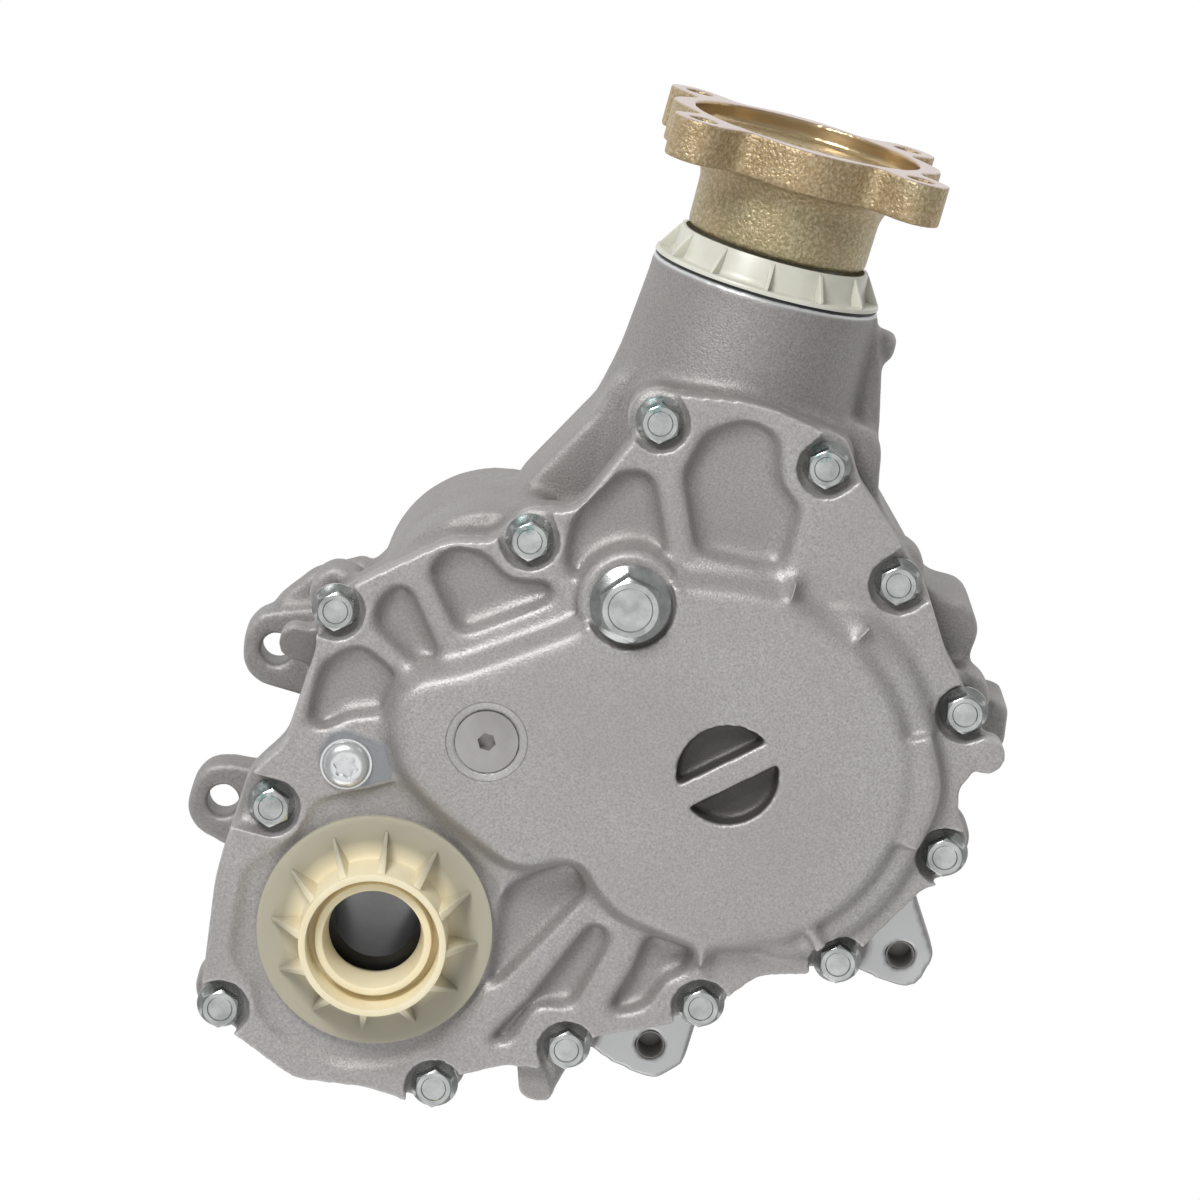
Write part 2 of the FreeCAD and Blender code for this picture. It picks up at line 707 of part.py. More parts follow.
def main_housing():
    """Die-cast housing: gear chambers, pinion neck, joint flange, ears and bracket lugs."""
    body = new_body("main_housing")
    wall = size("casting_wall")
    under_flange = JOINT - size("flange_depth")
    boss_base = under_flange - 19
    input_outer = size("input_chamber_radius") + wall
    idler_outer = size("idler_chamber_radius") + wall
    lower_outer = size("ring_chamber_lower") + wall
    upper_outer = size("ring_chamber_upper") + wall
    idler_spot = (size("idler_axis_x"), size("idler_axis_y"))
    ring_spot = (size("ring_axis_x"), size("ring_axis_y"))
    ear = size("ear_radius")
    spin(body, "ring_bowl", [
        (0, 0), (lower_outer - 8, 0), (lower_outer, 8), (lower_outer, size("bowl_break")),
        (upper_outer, size("bowl_shoulder")), (upper_outer, JOINT), (0, JOINT)], centre=ring_spot)
    spin(body, "idler_bowl", [
        (0, 0), (idler_outer - 5, 0), (idler_outer, 6), (idler_outer, JOINT), (0, JOINT)], centre=idler_spot)
    spin(body, "input_bowl", [
        (0, 0), (input_outer + 4, 0), (input_outer + 4, 14), (input_outer, 20), (input_outer, JOINT),
        (0, JOINT)])
    add_prism(body, "joint_flange", wire_edges(joint_wire()), under_flange, JOINT)
    add_discs(body, "bolt_bosses", bolt_discs(size("bolt_boss_radius") - 0.6), boss_base, under_flange)
    add_prism(body, "bolt_ribs", bolt_rib_edges(), boss_base, under_flange)
    add_discs(body, "oil_bulge", [(13, 117, 44)], 10, under_flange)
    add_prism(body, "neck_flare", rounded_edges(NECK_FLARE), 32, 80)
    root = size("neck_root_radius")
    rim = size("neck_rim_radius")
    neck_end = size("neck_end")
    spin_along_y(body, "pinion_neck", [
        (0, 118), (root + 0.5, 118), (root + 2.5, 212), (root, 226), (rim, neck_end - 6), (rim, neck_end),
        (0, neck_end)])
    add_prism(body, "neck_rib", rounded_edges([
        (112, 262, 1), (120.5, 262, 2), (128, 242, 8), (134, 218, 4), (110, 212, 1)]), 48, 64)
    add_prism(body, "neck_tab", rounded_edges([
        (112, 256, 1), (131, 256, 2.5), (131, 246, 2.5), (112, 240, 1)]), 44, 58)
    add_prism(body, "side_tab", rounded_edges([
        (165, 135, 2), (208, 136, 4), (211, 118, 3), (170, 112, 2)]), 40, 76)
    add_prism(body, "joint_stub", rounded_edges([
        (-62, 101.5, 6), (-62, 88, 6), (-36, 88, 1), (-36, 101.5, 1)]), under_flange, JOINT)
    lug_top = size("lug_height")
    lug_base = lug_top - size("lug_thickness")
    add_prism(body, "left_lug", rounded_edges(LUG_LEFT), lug_base, lug_top)
    add_prism(body, "right_lug", rounded_edges(LUG_RIGHT), lug_base, lug_top)
    for number, (x, y, root_x, root_y) in enumerate(EARS, start=1):
        add_prism(body, "ear_%d" % number, ear_edges(x, y, root_x, root_y, float(ear)), 0,
                  size("ear_thickness"))
    add_prism(body, "ear_web", rounded_edges([
        (-75, 76, 9), (-56, 101, 8), (-36, 112, 2), (-30, 80, 2)]), 0, size("ear_thickness") - 4)
    add_discs(body, "foot_pads", [
        (0, 0, size("pilot_radius")), (ring_spot[0], ring_spot[1], size("ring_foot_radius"))], FOOT, 2)
    chamber(body, "ring_chamber", ring_spot, size("ring_chamber_lower"), size("ring_chamber_upper"))
    chamber(body, "idler_chamber", idler_spot, size("idler_chamber_radius"))
    chamber(body, "input_chamber", None, size("input_chamber_radius"))
    add_discs(body, "floor_bosses", [
        (0, 0, size("input_cup_radius") + wall),
        (ring_spot[0], ring_spot[1], size("ring_cup_radius") + wall)], 0, BEARING_FLOOR)
    add_discs(body, "idler_floor_boss", [
        (idler_spot[0], idler_spot[1], size("idler_shaft_radius") + wall + 3)], 0, BEARING_FLOOR)
    head_end = size("head_bearing_start") + size("head_bearing_width") + size("shim_thickness")
    tail_start = size("tail_bearing_end") - size("tail_bearing_width")
    head_bore = size("head_cup_radius") + FIT
    tail_bore = size("tail_cup_radius") + FIT
    seal_bore = size("pinion_seal_radius") + FIT
    seal_seat = size("pinion_seal_start")
    spin_along_y(body, "pinion_bores", [
        (0, 126), (head_bore, 126), (head_bore, head_end), (tail_bore - 4, head_end),
        (tail_bore - 4, tail_start), (tail_bore, tail_start), (tail_bore, seal_seat),
        (seal_bore, seal_seat), (seal_bore, neck_end + 1), (0, neck_end + 1)], cut=True)
    cut_discs(body, "idler_shaft_bore", [
        (idler_spot[0], idler_spot[1], size("idler_shaft_radius") + FIT)], BEARING_FLOOR, 2)
    lower_seat = BEARING_FLOOR - size("input_bearing_width")
    cut_discs(body, "input_cup_bore", [(0, 0, size("input_cup_radius") + FIT)], BEARING_FLOOR, lower_seat)
    cut_discs(body, "input_seal_bore", [(0, 0, size("input_seal_radius") + FIT)], lower_seat, FOOT - 1)
    cut_discs(body, "ring_cup_bore", [
        (ring_spot[0], ring_spot[1], size("ring_cup_radius") + FIT)],
        BEARING_FLOOR, BEARING_FLOOR - size("ring_bearing_width"))
    cut_discs(body, "bolt_threads", bolt_discs(size("bolt_radius") + 0.1), JOINT,
              SEAT - size("bolt_length") - 2)
    cut_discs(body, "dowel_seats", dowel_discs(size("dowel_radius") + FIT), JOINT,
              JOINT - size("dowel_length") + 3)
    cut_discs(body, "lug_threads", [(x, y, size("lug_thread_radius")) for x, y in LUG_HOLES],
              lug_top, lug_base - 1)
    cut_discs(body, "ear_holes", [(x, y, size("ear_hole_radius")) for x, y, root_x, root_y in EARS],
              size("ear_thickness") + 1, -1)
    return body


def dowel_discs(radius):
    return [(COVER_BOLTS[row][0], COVER_BOLTS[row][1], radius) for row in DOWELED_BOLTS]


def half_moon(side):
    """One of the two half-moon recesses beside the bar, about the ring gear axis."""
    radius = float(size("bar_recess_radius"))
    half_bar = float(size("bar_width")) / 2
    lean = math.radians(float(size("bar_angle")))
    along = Vector(math.cos(lean), math.sin(lean), 0)
    across = Vector(-along.y, along.x, 0) * side
    reach = math.sqrt(radius ** 2 - half_bar ** 2)
    first = ring_axis + across * half_bar + along * reach
    last = ring_axis + across * half_bar - along * reach
    return [Part.Arc(first, ring_axis + across * radius, last), Part.LineSegment(last, first)]


def front_cover():
    """Ribbed aluminium cover with dome, ledge, pockets and bearing bosses."""
    body = new_body("front_cover")
    idler_spot = (size("idler_axis_x"), size("idler_axis_y"))
    ring_spot = (size("ring_axis_x"), size("ring_axis_y"))
    plug_spot = (size("plug_x"), size("plug_y"))
    wall = size("casting_wall")
    add_prism(body, "joint_plate", wire_edges(joint_wire()), JOINT, SEAT)
    add_prism(body, "pad_plate", rounded_edges(COVER_OUTLINE), JOINT, PAD)
    add_discs(body, "side_lug", [(199, 124, 7)], JOINT, PAD)
    add_prism(body, "pry_tab", rounded_edges([
        (62, -30, 2), (69, -50, 4), (80, -50, 4), (85, -30, 2)]), JOINT, SEAT + 1.5)
    for name, corners in POCKETS.items():
        cut_prism(body, name, rounded_edges(corners), PAD, size("pocket_floor"), taper=-10)
    cut_prism(body, "seal_recess", rounded_edges(SEAL_RECESS), PAD, PAD - size("seal_recess_depth"), taper=-20)
    add_discs(body, "seal_boss", [(0, 0, size("seal_boss_radius"))], JOINT, size("seal_boss_height"))
    add_discs(body, "plug_boss", [(plug_spot[0], plug_spot[1], size("plug_boss_radius") + 2.5)], JOINT, LEDGE,
              taper=-3)
    ledge = size("ledge_radius") + 1.5
    dome = size("dome_radius") + 5
    add_prism(body, "ledge", rounded_edges(
        tangent_corners(ring_axis, float(ledge), -75, 84, 5) + LEDGE_LEFT), PAD, LEDGE, taper=-30)
    dome_edges = rounded_edges(tangent_corners(ring_axis, float(dome), -97, 110, 6) + DOME_LEFT)
    add_prism(body, "dome_root", dome_edges, JOINT, PAD)
    add_prism(body, "dome", dome_edges, PAD, DOME, taper=-25)
    # the underside: hollows over the gears, then the bearing bosses that hang into them
    hollow = size("dome_hollow_radius")
    spin(body, "dome_hollow", [
        (0, JOINT - 1), (hollow, JOINT - 1), (hollow - 1, PAD - wall), (hollow - 3, DOME - wall - 1),
        (0, DOME - wall - 1)], cut=True, centre=ring_spot)
    spin(body, "idler_hollow", [
        (0, JOINT - 1), (26, JOINT - 1), (24, DOME - wall - 1), (0, DOME - wall - 1)], cut=True,
        centre=idler_spot)
    upper_cup = size("ring_upper_cup_radius")
    cup_start = size("ring_upper_seat") - size("ring_bearing_width") + 1.2
    spin(body, "ring_bearing_boss", [
        (upper_cup + FIT, cup_start), (upper_cup + wall, cup_start), (upper_cup + wall + 2, DOME - wall),
        (0, DOME - wall), (0, size("ring_upper_seat") + 0.5), (26, size("ring_upper_seat") + 0.5),
        (26, size("ring_upper_seat")), (upper_cup + FIT, size("ring_upper_seat"))], centre=ring_spot)
    shaft = size("idler_shaft_radius") + FIT
    hub_top = size("idler_hub_top") + 2
    spin(body, "idler_boss", [
        (shaft, hub_top), (shaft + 5.5, hub_top), (shaft + 7, DOME - wall), (shaft, DOME - wall)],
        centre=idler_spot)
    upper_seat = size("input_upper_seat")
    cup = size("input_cup_radius")
    spin(body, "input_bearing_boss", [
        (cup + FIT, upper_seat - size("input_bearing_width")),
        (cup + wall, upper_seat - size("input_bearing_width")), (cup + wall + 2, JOINT + 2),
        (26, JOINT + 2), (26, upper_seat), (cup + FIT, upper_seat)])
    ribs = []
    for first, last in DOME_RIBS:
        ribs += dome_rib_edges(60, float(ledge) - 1, first, last)
    add_prism(body, "dome_ribs", ribs, PAD, DOME - 1, taper=-12)
    add_discs(body, "plug_seat", [(plug_spot[0], plug_spot[1], size("plug_boss_radius"))], PAD,
              size("plug_boss_height"))
    cut_discs(body, "plug_spot_face", [(plug_spot[0], plug_spot[1], size("plug_boss_radius") - 1)], DOME + 1,
              size("plug_boss_height"))
    add_prism(body, "check_pad", rounded_edges([
        (-37, 61, 5), (-33, 71, 6), (-13, 69, 4), (-8, 57, 3), (-18, 50.5, 4), (-33, 52, 6)]), JOINT,
        size("check_pad_height"))
    bolt_pockets = []
    for x, y, side in COVER_BOLTS:
        bolt_pockets += pocket_edges(x, y, side)
    cut_prism(body, "bolt_pockets", bolt_pockets, DOME, SEAT)
    cut_discs(body, "bolt_holes", bolt_discs(size("bolt_hole_radius")), SEAT, JOINT - 1)
    cut_prism(body, "half_moons", half_moon(1) + half_moon(-1), DOME, DOME - size("bar_recess_depth"), taper=-6)
    seal_bore = size("halfshaft_seal_radius") + FIT
    open_top = size("seal_boss_height") + 1
    spin(body, "halfshaft_bores", [
        (0, upper_seat - 1), (26, upper_seat - 1), (26, size("halfshaft_seal_floor")),
        (seal_bore, size("halfshaft_seal_floor")), (seal_bore, open_top), (0, open_top)], cut=True)
    cut_discs(body, "idler_cap_ring", [(idler_spot[0], idler_spot[1], 14.8)], DOME + 1, DOME - 0.6)
    cut_discs(body, "screw_bores", [
        (idler_spot[0], idler_spot[1], shaft),
        (plug_spot[0], plug_spot[1], size("plug_thread_radius") + 0.1),
        (size("check_x"), size("check_y"), size("check_thread_radius") + 0.1)], DOME + 1, hub_top - 1)
    cut_discs(body, "dowel_seats", dowel_discs(size("dowel_radius") + FIT), JOINT + 3.1, JOINT - 1)
    return body


def hexagon(flats):
    """Corners of a hexagon across its flats, about the origin."""
    radius = float(flats) / math.sqrt(3)
    return [(radius * math.cos(math.radians(60 * k)), radius * math.sin(math.radians(60 * k)), 0)
            for k in range(6)]


def repeated(label, form, places):
    """One node of several equal pieces: separate solids at the given places."""
    doc.recompute()
    copies = []
    for place in places:
        copy = form.Shape.copy()
        copy.translate(place)
        copies.append(copy)
    doc.removeObject(form.Name)
    return shape_piece(label, Part.makeCompound(copies))


def fasteners():
    """Cover bolts, dowel sleeves, both screw plugs and their washers."""
    form = new_body("bolt_form")
    sub_parts.remove(form)
    shank = size("bolt_radius")
    rim = size("bolt_flange_radius")
    spin(form, "bolt_shank", [
        (0, size("bolt_length") * -1.0), (shank, size("bolt_length") * -1.0), (shank, 0), (rim, 0), (rim, 2.0),
        (0, 2.0)])
    add_prism(form, "bolt_hex", rounded_edges(hexagon(size("bolt_hex_flats"))), 1.5, size("bolt_head_depth"))
    repeated("cover_bolts", form, [Vector(x, y, float(SEAT)) for x, y, side in COVER_BOLTS])
    sleeve = new_body("sleeve_form")
    sub_parts.remove(sleeve)
    low = size("dowel_length") * -1.0 + 3
    spin(sleeve, "sleeve_form_turned", [
        (size("bolt_hole_radius"), low), (size("dowel_radius"), low), (size("dowel_radius"), 3),
        (size("bolt_hole_radius"), 3)])
    repeated("dowel_sleeves", sleeve, [
        Vector(COVER_BOLTS[row][0], COVER_BOLTS[row][1], float(JOINT)) for row in DOWELED_BOLTS])
    plug_spot = (size("plug_x"), size("plug_y"))
    seat = size("plug_boss_height") + size("plug_washer_thickness")
    flange = size("plug_flange_radius")
    plug = new_body("fill_plug")
    spin(plug, "plug_turned", [
        (0, PAD - 8), (size("plug_thread_radius"), PAD - 8), (size("plug_thread_radius"), seat),
        (flange, seat), (flange, seat + 2), (flange - 2, seat + 3), (0, seat + 3)], centre=plug_spot)
    hexagon_edges = rounded_edges([(x + float(plug_spot[0]), y + float(plug_spot[1]), 0)
                                   for x, y, r in hexagon(size("plug_hex_flats"))])
    add_prism(plug, "plug_hex", hexagon_edges, seat + 2.5, seat + 10.5)
    washer = new_body("fill_plug_washer")
    spin(washer, "plug_washer_turned", [
        (size("plug_thread_radius") + 0.2, size("plug_boss_height")), (flange - 0.8, size("plug_boss_height")),
        (flange - 0.8, seat), (size("plug_thread_radius") + 0.2, seat)], centre=plug_spot)
    check_spot = (size("check_x"), size("check_y"))
    pad = size("check_pad_height")
    under = pad + size("check_washer_thickness")
    head = size("check_head_radius")
    screw = new_body("check_screw")
    spin(screw, "screw_turned", [
        (0, PAD - 8), (size("check_thread_radius"), PAD - 8), (size("check_thread_radius"), under),
        (head, under), (head, under + 1), (head - 2.2, under + 3.6), (0, under + 3.6)], centre=check_spot)
    star = []
    for k in range(12):
        turn = math.radians(30 * k)
        reach = 4.7 if k % 2 == 0 else 3.4
        star.append((float(check_spot[0]) + reach * math.cos(turn),
                     float(check_spot[1]) + reach * math.sin(turn), 0))
    cut_prism(screw, "star_socket", rounded_edges(star), under + 4, under + 0.6)
    ring = new_body("check_screw_washer")
    spin(ring, "check_washer_turned", [
        (size("check_thread_radius") + 0.2, pad), (head + 0.8, pad), (head + 0.8, under),
        (size("check_thread_radius") + 0.2, under)], centre=check_spot)


def lip_seal(label, outer, lip, base, width, flip=False, turned=UPRIGHT, place=Vector(0, 0, 0), brim=None):
    """Shaft seal: a pressed case with its lip against the shaft."""
    outer = as_size(outer)
    lip = as_size(lip) + RUN
    points = [(outer, 0.0), (outer, width), (outer - 2.2, width), (outer - 2.2, width * 0.3),
              (lip + 1.8, width * 0.85), (lip, width * 0.5), (lip + 1.2, 0.0)]
    if flip:
        points = [(r, width - z) for r, z in points]
    if brim:
        radius, end = brim
        points[0:1] = [(outer - 2.2, width), (outer - 2.2, end), (radius, end), (radius, end - 0.45),
                       (outer, end - 0.45)]
    return turned_piece(label, [(r, as_size(base) + z) for r, z in points], place, turned)


def taper_bearing(label, bore, outer, width, base, opens_up, turned=UPRIGHT, place=Vector(0, 0, 0)):
    """Cup and cone of a taper roller bearing; the cup's wide end faces up if it opens up."""
    span = outer - bore
    base = as_size(base)

    def level(share):
        return base + width * (share if opens_up else 1 - share)

    cup = [(outer, level(0)), (outer, level(0.8)), (bore + span * 0.84, level(0.8)),
           (bore + span * 0.70, level(0))]
    slope = 0.14 / 0.8
    cone = [(bore + FIT, level(0)), (bore + span * 0.34, level(0)), (bore + span * 0.34, level(0.1)),
            (bore + span * (0.70 + slope * 0.1) - RUN * 1.3, level(0.1)),
            (bore + span * (0.70 + slope * 0.86) - RUN * 1.3, level(0.86)),
            (bore + span * 0.62, level(1)), (bore + FIT, level(1))]
    turned_piece(label + "_cup", cup, place, turned)
    turned_piece(label + "_cone", cone, place, turned)


def turned_outline(points):
    """Solid of revolution about Z from a profile of (radius, height) numbers."""
    wire = Part.makePolygon([Vector(float(r), 0, float(z)) for r, z in list(points) + [points[0]]])
    return Part.Face(wire).revolve(Vector(0, 0, 0), Vector(0, 0, 1), 360)


def toothed_wire(teeth, turn, height, radii, halves):
    """Outline of a gear section: root and tip radii with the half angles of a tooth, in degrees."""
    root, tip = radii
    half_root, half_tip = halves
    points = []
    for k in range(teeth):
        middle = turn + 360.0 * k / teeth
        for radius, angle in ((root, middle - half_root), (tip, middle - half_tip), (tip, middle + half_tip),
                              (root, middle + half_root)):
            way = math.radians(angle)
            points.append(Vector(radius * math.cos(way), radius * math.sin(way), height))
    return Part.makePolygon(points + [points[0]])


def involute_half(teeth, radius):
    """Half angle of an involute tooth at a radius, in degrees."""
    pitch = float(size("gear_module")) * teeth / 2
    pressure = math.radians(20)
    base = pitch * math.cos(pressure)
    there = math.acos(min(1.0, base / radius))
    gain = math.tan(pressure) - pressure - (math.tan(there) - there)
    return math.degrees(math.pi / 2 / teeth + gain)


def helical_gear(teeth, turn, hand, bore):
    """Helical spur gear standing on the gear base height."""
    pitch = float(size("gear_module")) * teeth / 2
    tip = pitch + float(size("gear_addendum"))
    root = pitch - float(size("gear_dedendum"))
    low = float(size("gear_base"))
    width = float(size("gear_width"))
    helix = math.tan(math.radians(float(size("helix_angle"))))
    twist = hand * math.degrees(width * helix / pitch)
    halves = (involute_half(teeth, root) + 0.4, involute_half(teeth, tip))
    sections = [toothed_wire(teeth, turn, low, (root, tip), halves),
                toothed_wire(teeth, turn + twist, low + width, (root, tip), halves)]
    rim = Part.makeLoft(sections, True, True)
    hole = Part.makeCylinder(float(bore), width + 2, Vector(0, 0, low - 1))
    return rim.cut(hole)


def transfer_gears():
    """Input, idler and driven gear, each turned so that its teeth mesh with the next."""
    input_teeth = int(float(size("input_teeth")))
    idler_teeth = int(float(size("idler_teeth")))
    driven_teeth = int(float(size("driven_teeth")))
    to_idler = math.degrees(math.atan2(idler_axis.y, idler_axis.x))
    step = ring_axis - idler_axis
    to_driven = math.degrees(math.atan2(step.y, step.x))
    idler_pitch = 360.0 / idler_teeth
    idler_turn = to_idler + 180 + idler_pitch / 2
    tooth_off = (idler_turn - to_driven) % idler_pitch
    driven_turn = to_driven + 180 - tooth_off * idler_teeth / driven_teeth + 180.0 / driven_teeth
    shape_piece("input_gear", helical_gear(input_teeth, to_idler, 1, size("input_gear_seat_radius") + FIT))
    idler = helical_gear(idler_teeth, idler_turn, -1, size("idler_hub_bore"))
    low = float(size("gear_base"))
    top = float(size("idler_hub_top"))
    neck = size("idler_hub_radius") - 1.8
    hub = turned_outline([
        (size("idler_hub_bore"), low), (size("idler_hub_radius"), low), (size("idler_hub_radius"), top - 14),
        (neck, top - 12), (neck, top), (size("idler_hub_bore"), top)])
    shape_piece("idler_gear", idler.fuse(hub).removeSplitter(), idler_axis)
    shape_piece("driven_gear", helical_gear(driven_teeth, driven_turn, 1, size("ring_gear_seat_radius") + FIT),
                ring_axis)


def pinion_pitch_radius(along):
    first = float(size("pinion_start"))
    last = float(size("pinion_end"))
    small = float(size("pinion_small_radius"))
    large = float(size("pinion_large_radius"))
    return small + (large - small) * (along - first) / (last - first)


def ring_tooth_curve(radius):
    """Angle by which a ring gear tooth sweeps from its inner end, in radians."""
    spiral = math.tan(math.radians(float(size("ring_spiral_angle"))))
    return spiral * math.log(radius / float(size("ring_inner_radius")))


def contact_angle(radius):
    """Polar angle, in radians, where the ring gear passes over the pinion axis at a radius."""
    return math.pi / 2 + math.asin(float(size("hypoid_offset")) / radius)


def ring_start():
    middle = (float(size("ring_inner_radius")) + float(size("ring_outer_radius"))) / 2
    return contact_angle(middle) - ring_tooth_curve(middle)


def ring_gear():
    """Hypoid ring gear: a turned blank with curved teeth that point down to the pinion."""
    inner = float(size("ring_inner_radius"))
    outer = float(size("ring_outer_radius"))
    teeth = int(float(size("ring_teeth")))
    height = float(size("pinion_axis_height"))
    back = float(size("ring_back_height"))
    offset = float(size("hypoid_offset"))
    addendum = float(size("pinion_dedendum")) - 1.0
    dedendum = float(size("pinion_addendum")) + 0.8

    def pitch_height(radius):
        along = ring_axis.y + math.sqrt(radius ** 2 - offset ** 2)
        return height + pinion_pitch_radius(along)

    blank = turned_outline([
        (size("ring_hub_radius"), pitch_height(inner) + dedendum), (inner, pitch_height(inner) + dedendum),
        (outer, pitch_height(outer) + dedendum), (outer, back - 1), (outer - 3, back),
        (size("ring_flange_radius"), back), (size("ring_flange_radius"), back - 4),
        (size("ring_hub_radius"), back - 4)])
    pitch_angle = 2 * math.pi / teeth
    sweep = (inner + 0.4, (inner + outer) / 2, outer - 0.4)
    solids = []
    for k in range(teeth):
        sections = []
        for radius in sweep:
            middle = ring_start() + ring_tooth_curve(radius) + k * pitch_angle
            top_half = pitch_angle * float(size("ring_tooth_root"))
            tip_half = pitch_angle * float(size("ring_tooth_tip"))
            top = pitch_height(radius) + dedendum + 1.0
            tip = pitch_height(radius) - addendum
            points = [Vector(radius * math.cos(middle + turn), radius * math.sin(middle + turn), z)
                      for turn, z in ((-top_half, top), (-tip_half, tip), (tip_half, tip), (top_half, top))]
            sections.append(Part.makePolygon(points + [points[0]]))
        solids.append(Part.makeLoft(sections, True, True))
    return shape_piece("ring_gear", blank.multiFuse(solids).removeSplitter(), ring_axis)


def pinion():
    """Hypoid pinion on its stepped shaft, made along the local Z and laid along Y."""
    teeth = int(float(size("pinion_teeth")))
    ratio = float(size("ring_teeth")) / teeth
    offset = float(size("hypoid_offset"))
    first = float(size("pinion_start"))
    last = float(size("pinion_end"))
    sections = []
    spans = 6
    for index in range(spans + 1):
        along = first + (last - first) * index / spans
        radius = math.sqrt(offset ** 2 + (along - ring_axis.y) ** 2)
        space = ratio * (contact_angle(radius) - ring_tooth_curve(radius) - ring_start())
        turn = math.degrees(space) + 180.0 / teeth - 90.0 + float(size("pinion_set"))
        pitch = pinion_pitch_radius(along)
        radii = (pitch - float(size("pinion_dedendum")), pitch + float(size("pinion_addendum")))
        halves = (360.0 / teeth * float(size("pinion_tooth_root")), 360.0 / teeth * float(size("pinion_tooth_tip")))
        sections.append(toothed_wire(teeth, turn, along, radii, halves))
    head = Part.makeLoft(sections, True, True)
    bearing = float(size("head_bearing_start"))
    head_end = bearing + float(size("head_bearing_width"))
    tail_end = float(size("tail_bearing_end"))
    tail = tail_end - float(size("tail_bearing_width"))
    shaft = turned_outline([
        (0, last - 2), (24, last - 2), (24, bearing), (size("head_bearing_bore"), bearing),
        (size("head_bearing_bore"), head_end), (16, head_end), (16, tail), (size("tail_bearing_bore"), tail),
        (size("tail_bearing_bore"), tail_end), (13, tail_end), (13, 298), (10, 298), (10, 312), (0, 312)])
    return shape_piece("pinion", head.fuse(shaft).removeSplitter(), pinion_origin, ALONG_Y)


def shafts_and_bearings():
    """Input, idler, ring gear and pinion shaft lines."""
    journal = size("input_journal_radius")
    bore = size("halfshaft_bore_radius")
    seat = size("input_gear_seat_radius")
    seal_journal = size("input_seal_journal")
    lower = BEARING_FLOOR - size("input_bearing_width")
    upper = size("input_upper_seat") - size("input_bearing_width")
    gear_top = size("gear_base") + size("gear_width")
    turned_piece("input_shaft", [
        (bore, FOOT + 0.5), (seal_journal, FOOT + 0.5), (seal_journal, lower), (journal, lower),
        (journal, BEARING_FLOOR), (seat, BEARING_FLOOR), (seat, gear_top), (seat + 3, gear_top),
        (seat + 3, upper), (journal, upper), (journal, upper + 18), (bore, upper + 18)])
    taper_bearing("input_lower", journal, size("input_cup_radius"), size("input_bearing_width"), lower, True)
    taper_bearing("input_upper", journal, size("input_cup_radius"), size("input_bearing_width"), upper, False)
    idler = size("idler_shaft_radius")
    shaft = new_body("idler_shaft", idler_axis)
    spin(shaft, "idler_shaft_turned", [
        (0, 2), (idler, 2), (idler, 118), (idler - 1.6, 118), (idler - 1.6, 120.5), (idler, 120.5),
        (idler, DOME), (0, DOME)])
    cut_prism(shaft, "idler_socket", rounded_edges(hexagon(6)), DOME, DOME - 5)
    turned_piece("idler_shaft_seal", [
        (idler - 1.6, 118.2), (idler, 118.2), (idler, 120.3), (idler - 1.6, 120.3)], idler_axis)
    for number, low, high in ((1, 15, 35), (2, 76, 95)):
        turned_piece("idler_needles_%d" % number, [
            (idler + RUN, low), (size("idler_hub_bore") - RUN, low), (size("idler_hub_bore") - RUN, high),
            (idler + RUN, high)], idler_axis)
        base = BEARING_FLOOR + 0.1 if number == 1 else size("idler_hub_top") + 0.1
        rim = size("idler_hub_radius") - (0 if number == 1 else 1.8)
        turned_piece("idler_thrust_washer_%d" % number, [
            (idler + 0.3, base), (rim, base), (rim, base + 1.8), (idler + 0.3, base + 1.8)], idler_axis)
    foot = BEARING_FLOOR - size("ring_bearing_width")
    ring_journal = size("ring_journal_radius")
    gear_seat = size("ring_gear_seat_radius")
    hub = size("ring_hub_radius")
    back = size("ring_back_height")
    top_journal = size("ring_upper_journal_radius")
    turned_piece("ring_shaft", [
        (0, foot), (ring_journal, foot), (ring_journal, BEARING_FLOOR), (gear_seat, BEARING_FLOOR),
        (gear_seat, gear_top), (gear_seat + 2, gear_top), (gear_seat + 2, 80), (hub, 86), (hub, back - 4),
        (size("ring_flange_radius"), back - 4), (size("ring_flange_radius"), back), (top_journal, back),
        (top_journal, back + 16), (0, back + 16)], ring_axis)
    taper_bearing("ring_lower", ring_journal, size("ring_cup_radius"), size("ring_bearing_width"), foot, True,
                  place=ring_axis)
    taper_bearing("ring_upper", top_journal, size("ring_upper_cup_radius"), size("ring_bearing_width"), back,
                  False, place=ring_axis)
    head = size("head_bearing_start")
    head_end = head + size("head_bearing_width")
    tail_end = size("tail_bearing_end")
    tail = tail_end - size("tail_bearing_width")
    taper_bearing("pinion_head", size("head_bearing_bore"), size("head_cup_radius"),
                  size("head_bearing_width"), head, False, ALONG_Y, pinion_origin)
    taper_bearing("pinion_tail", size("tail_bearing_bore"), size("tail_cup_radius"),
                  size("tail_bearing_width"), tail, True, ALONG_Y, pinion_origin)
    turned_piece("pinion_shim", [
        (31, head_end), (size("head_cup_radius"), head_end), (size("head_cup_radius"), head_end + 2),
        (31, head_end + 2)], pinion_origin, ALONG_Y)
    turned_piece("crush_sleeve", [
        (16.4, head_end), (19.4, head_end), (22.5, 201.5), (19.4, tail), (16.4, tail), (19.5, 201.5)],
        pinion_origin, ALONG_Y)


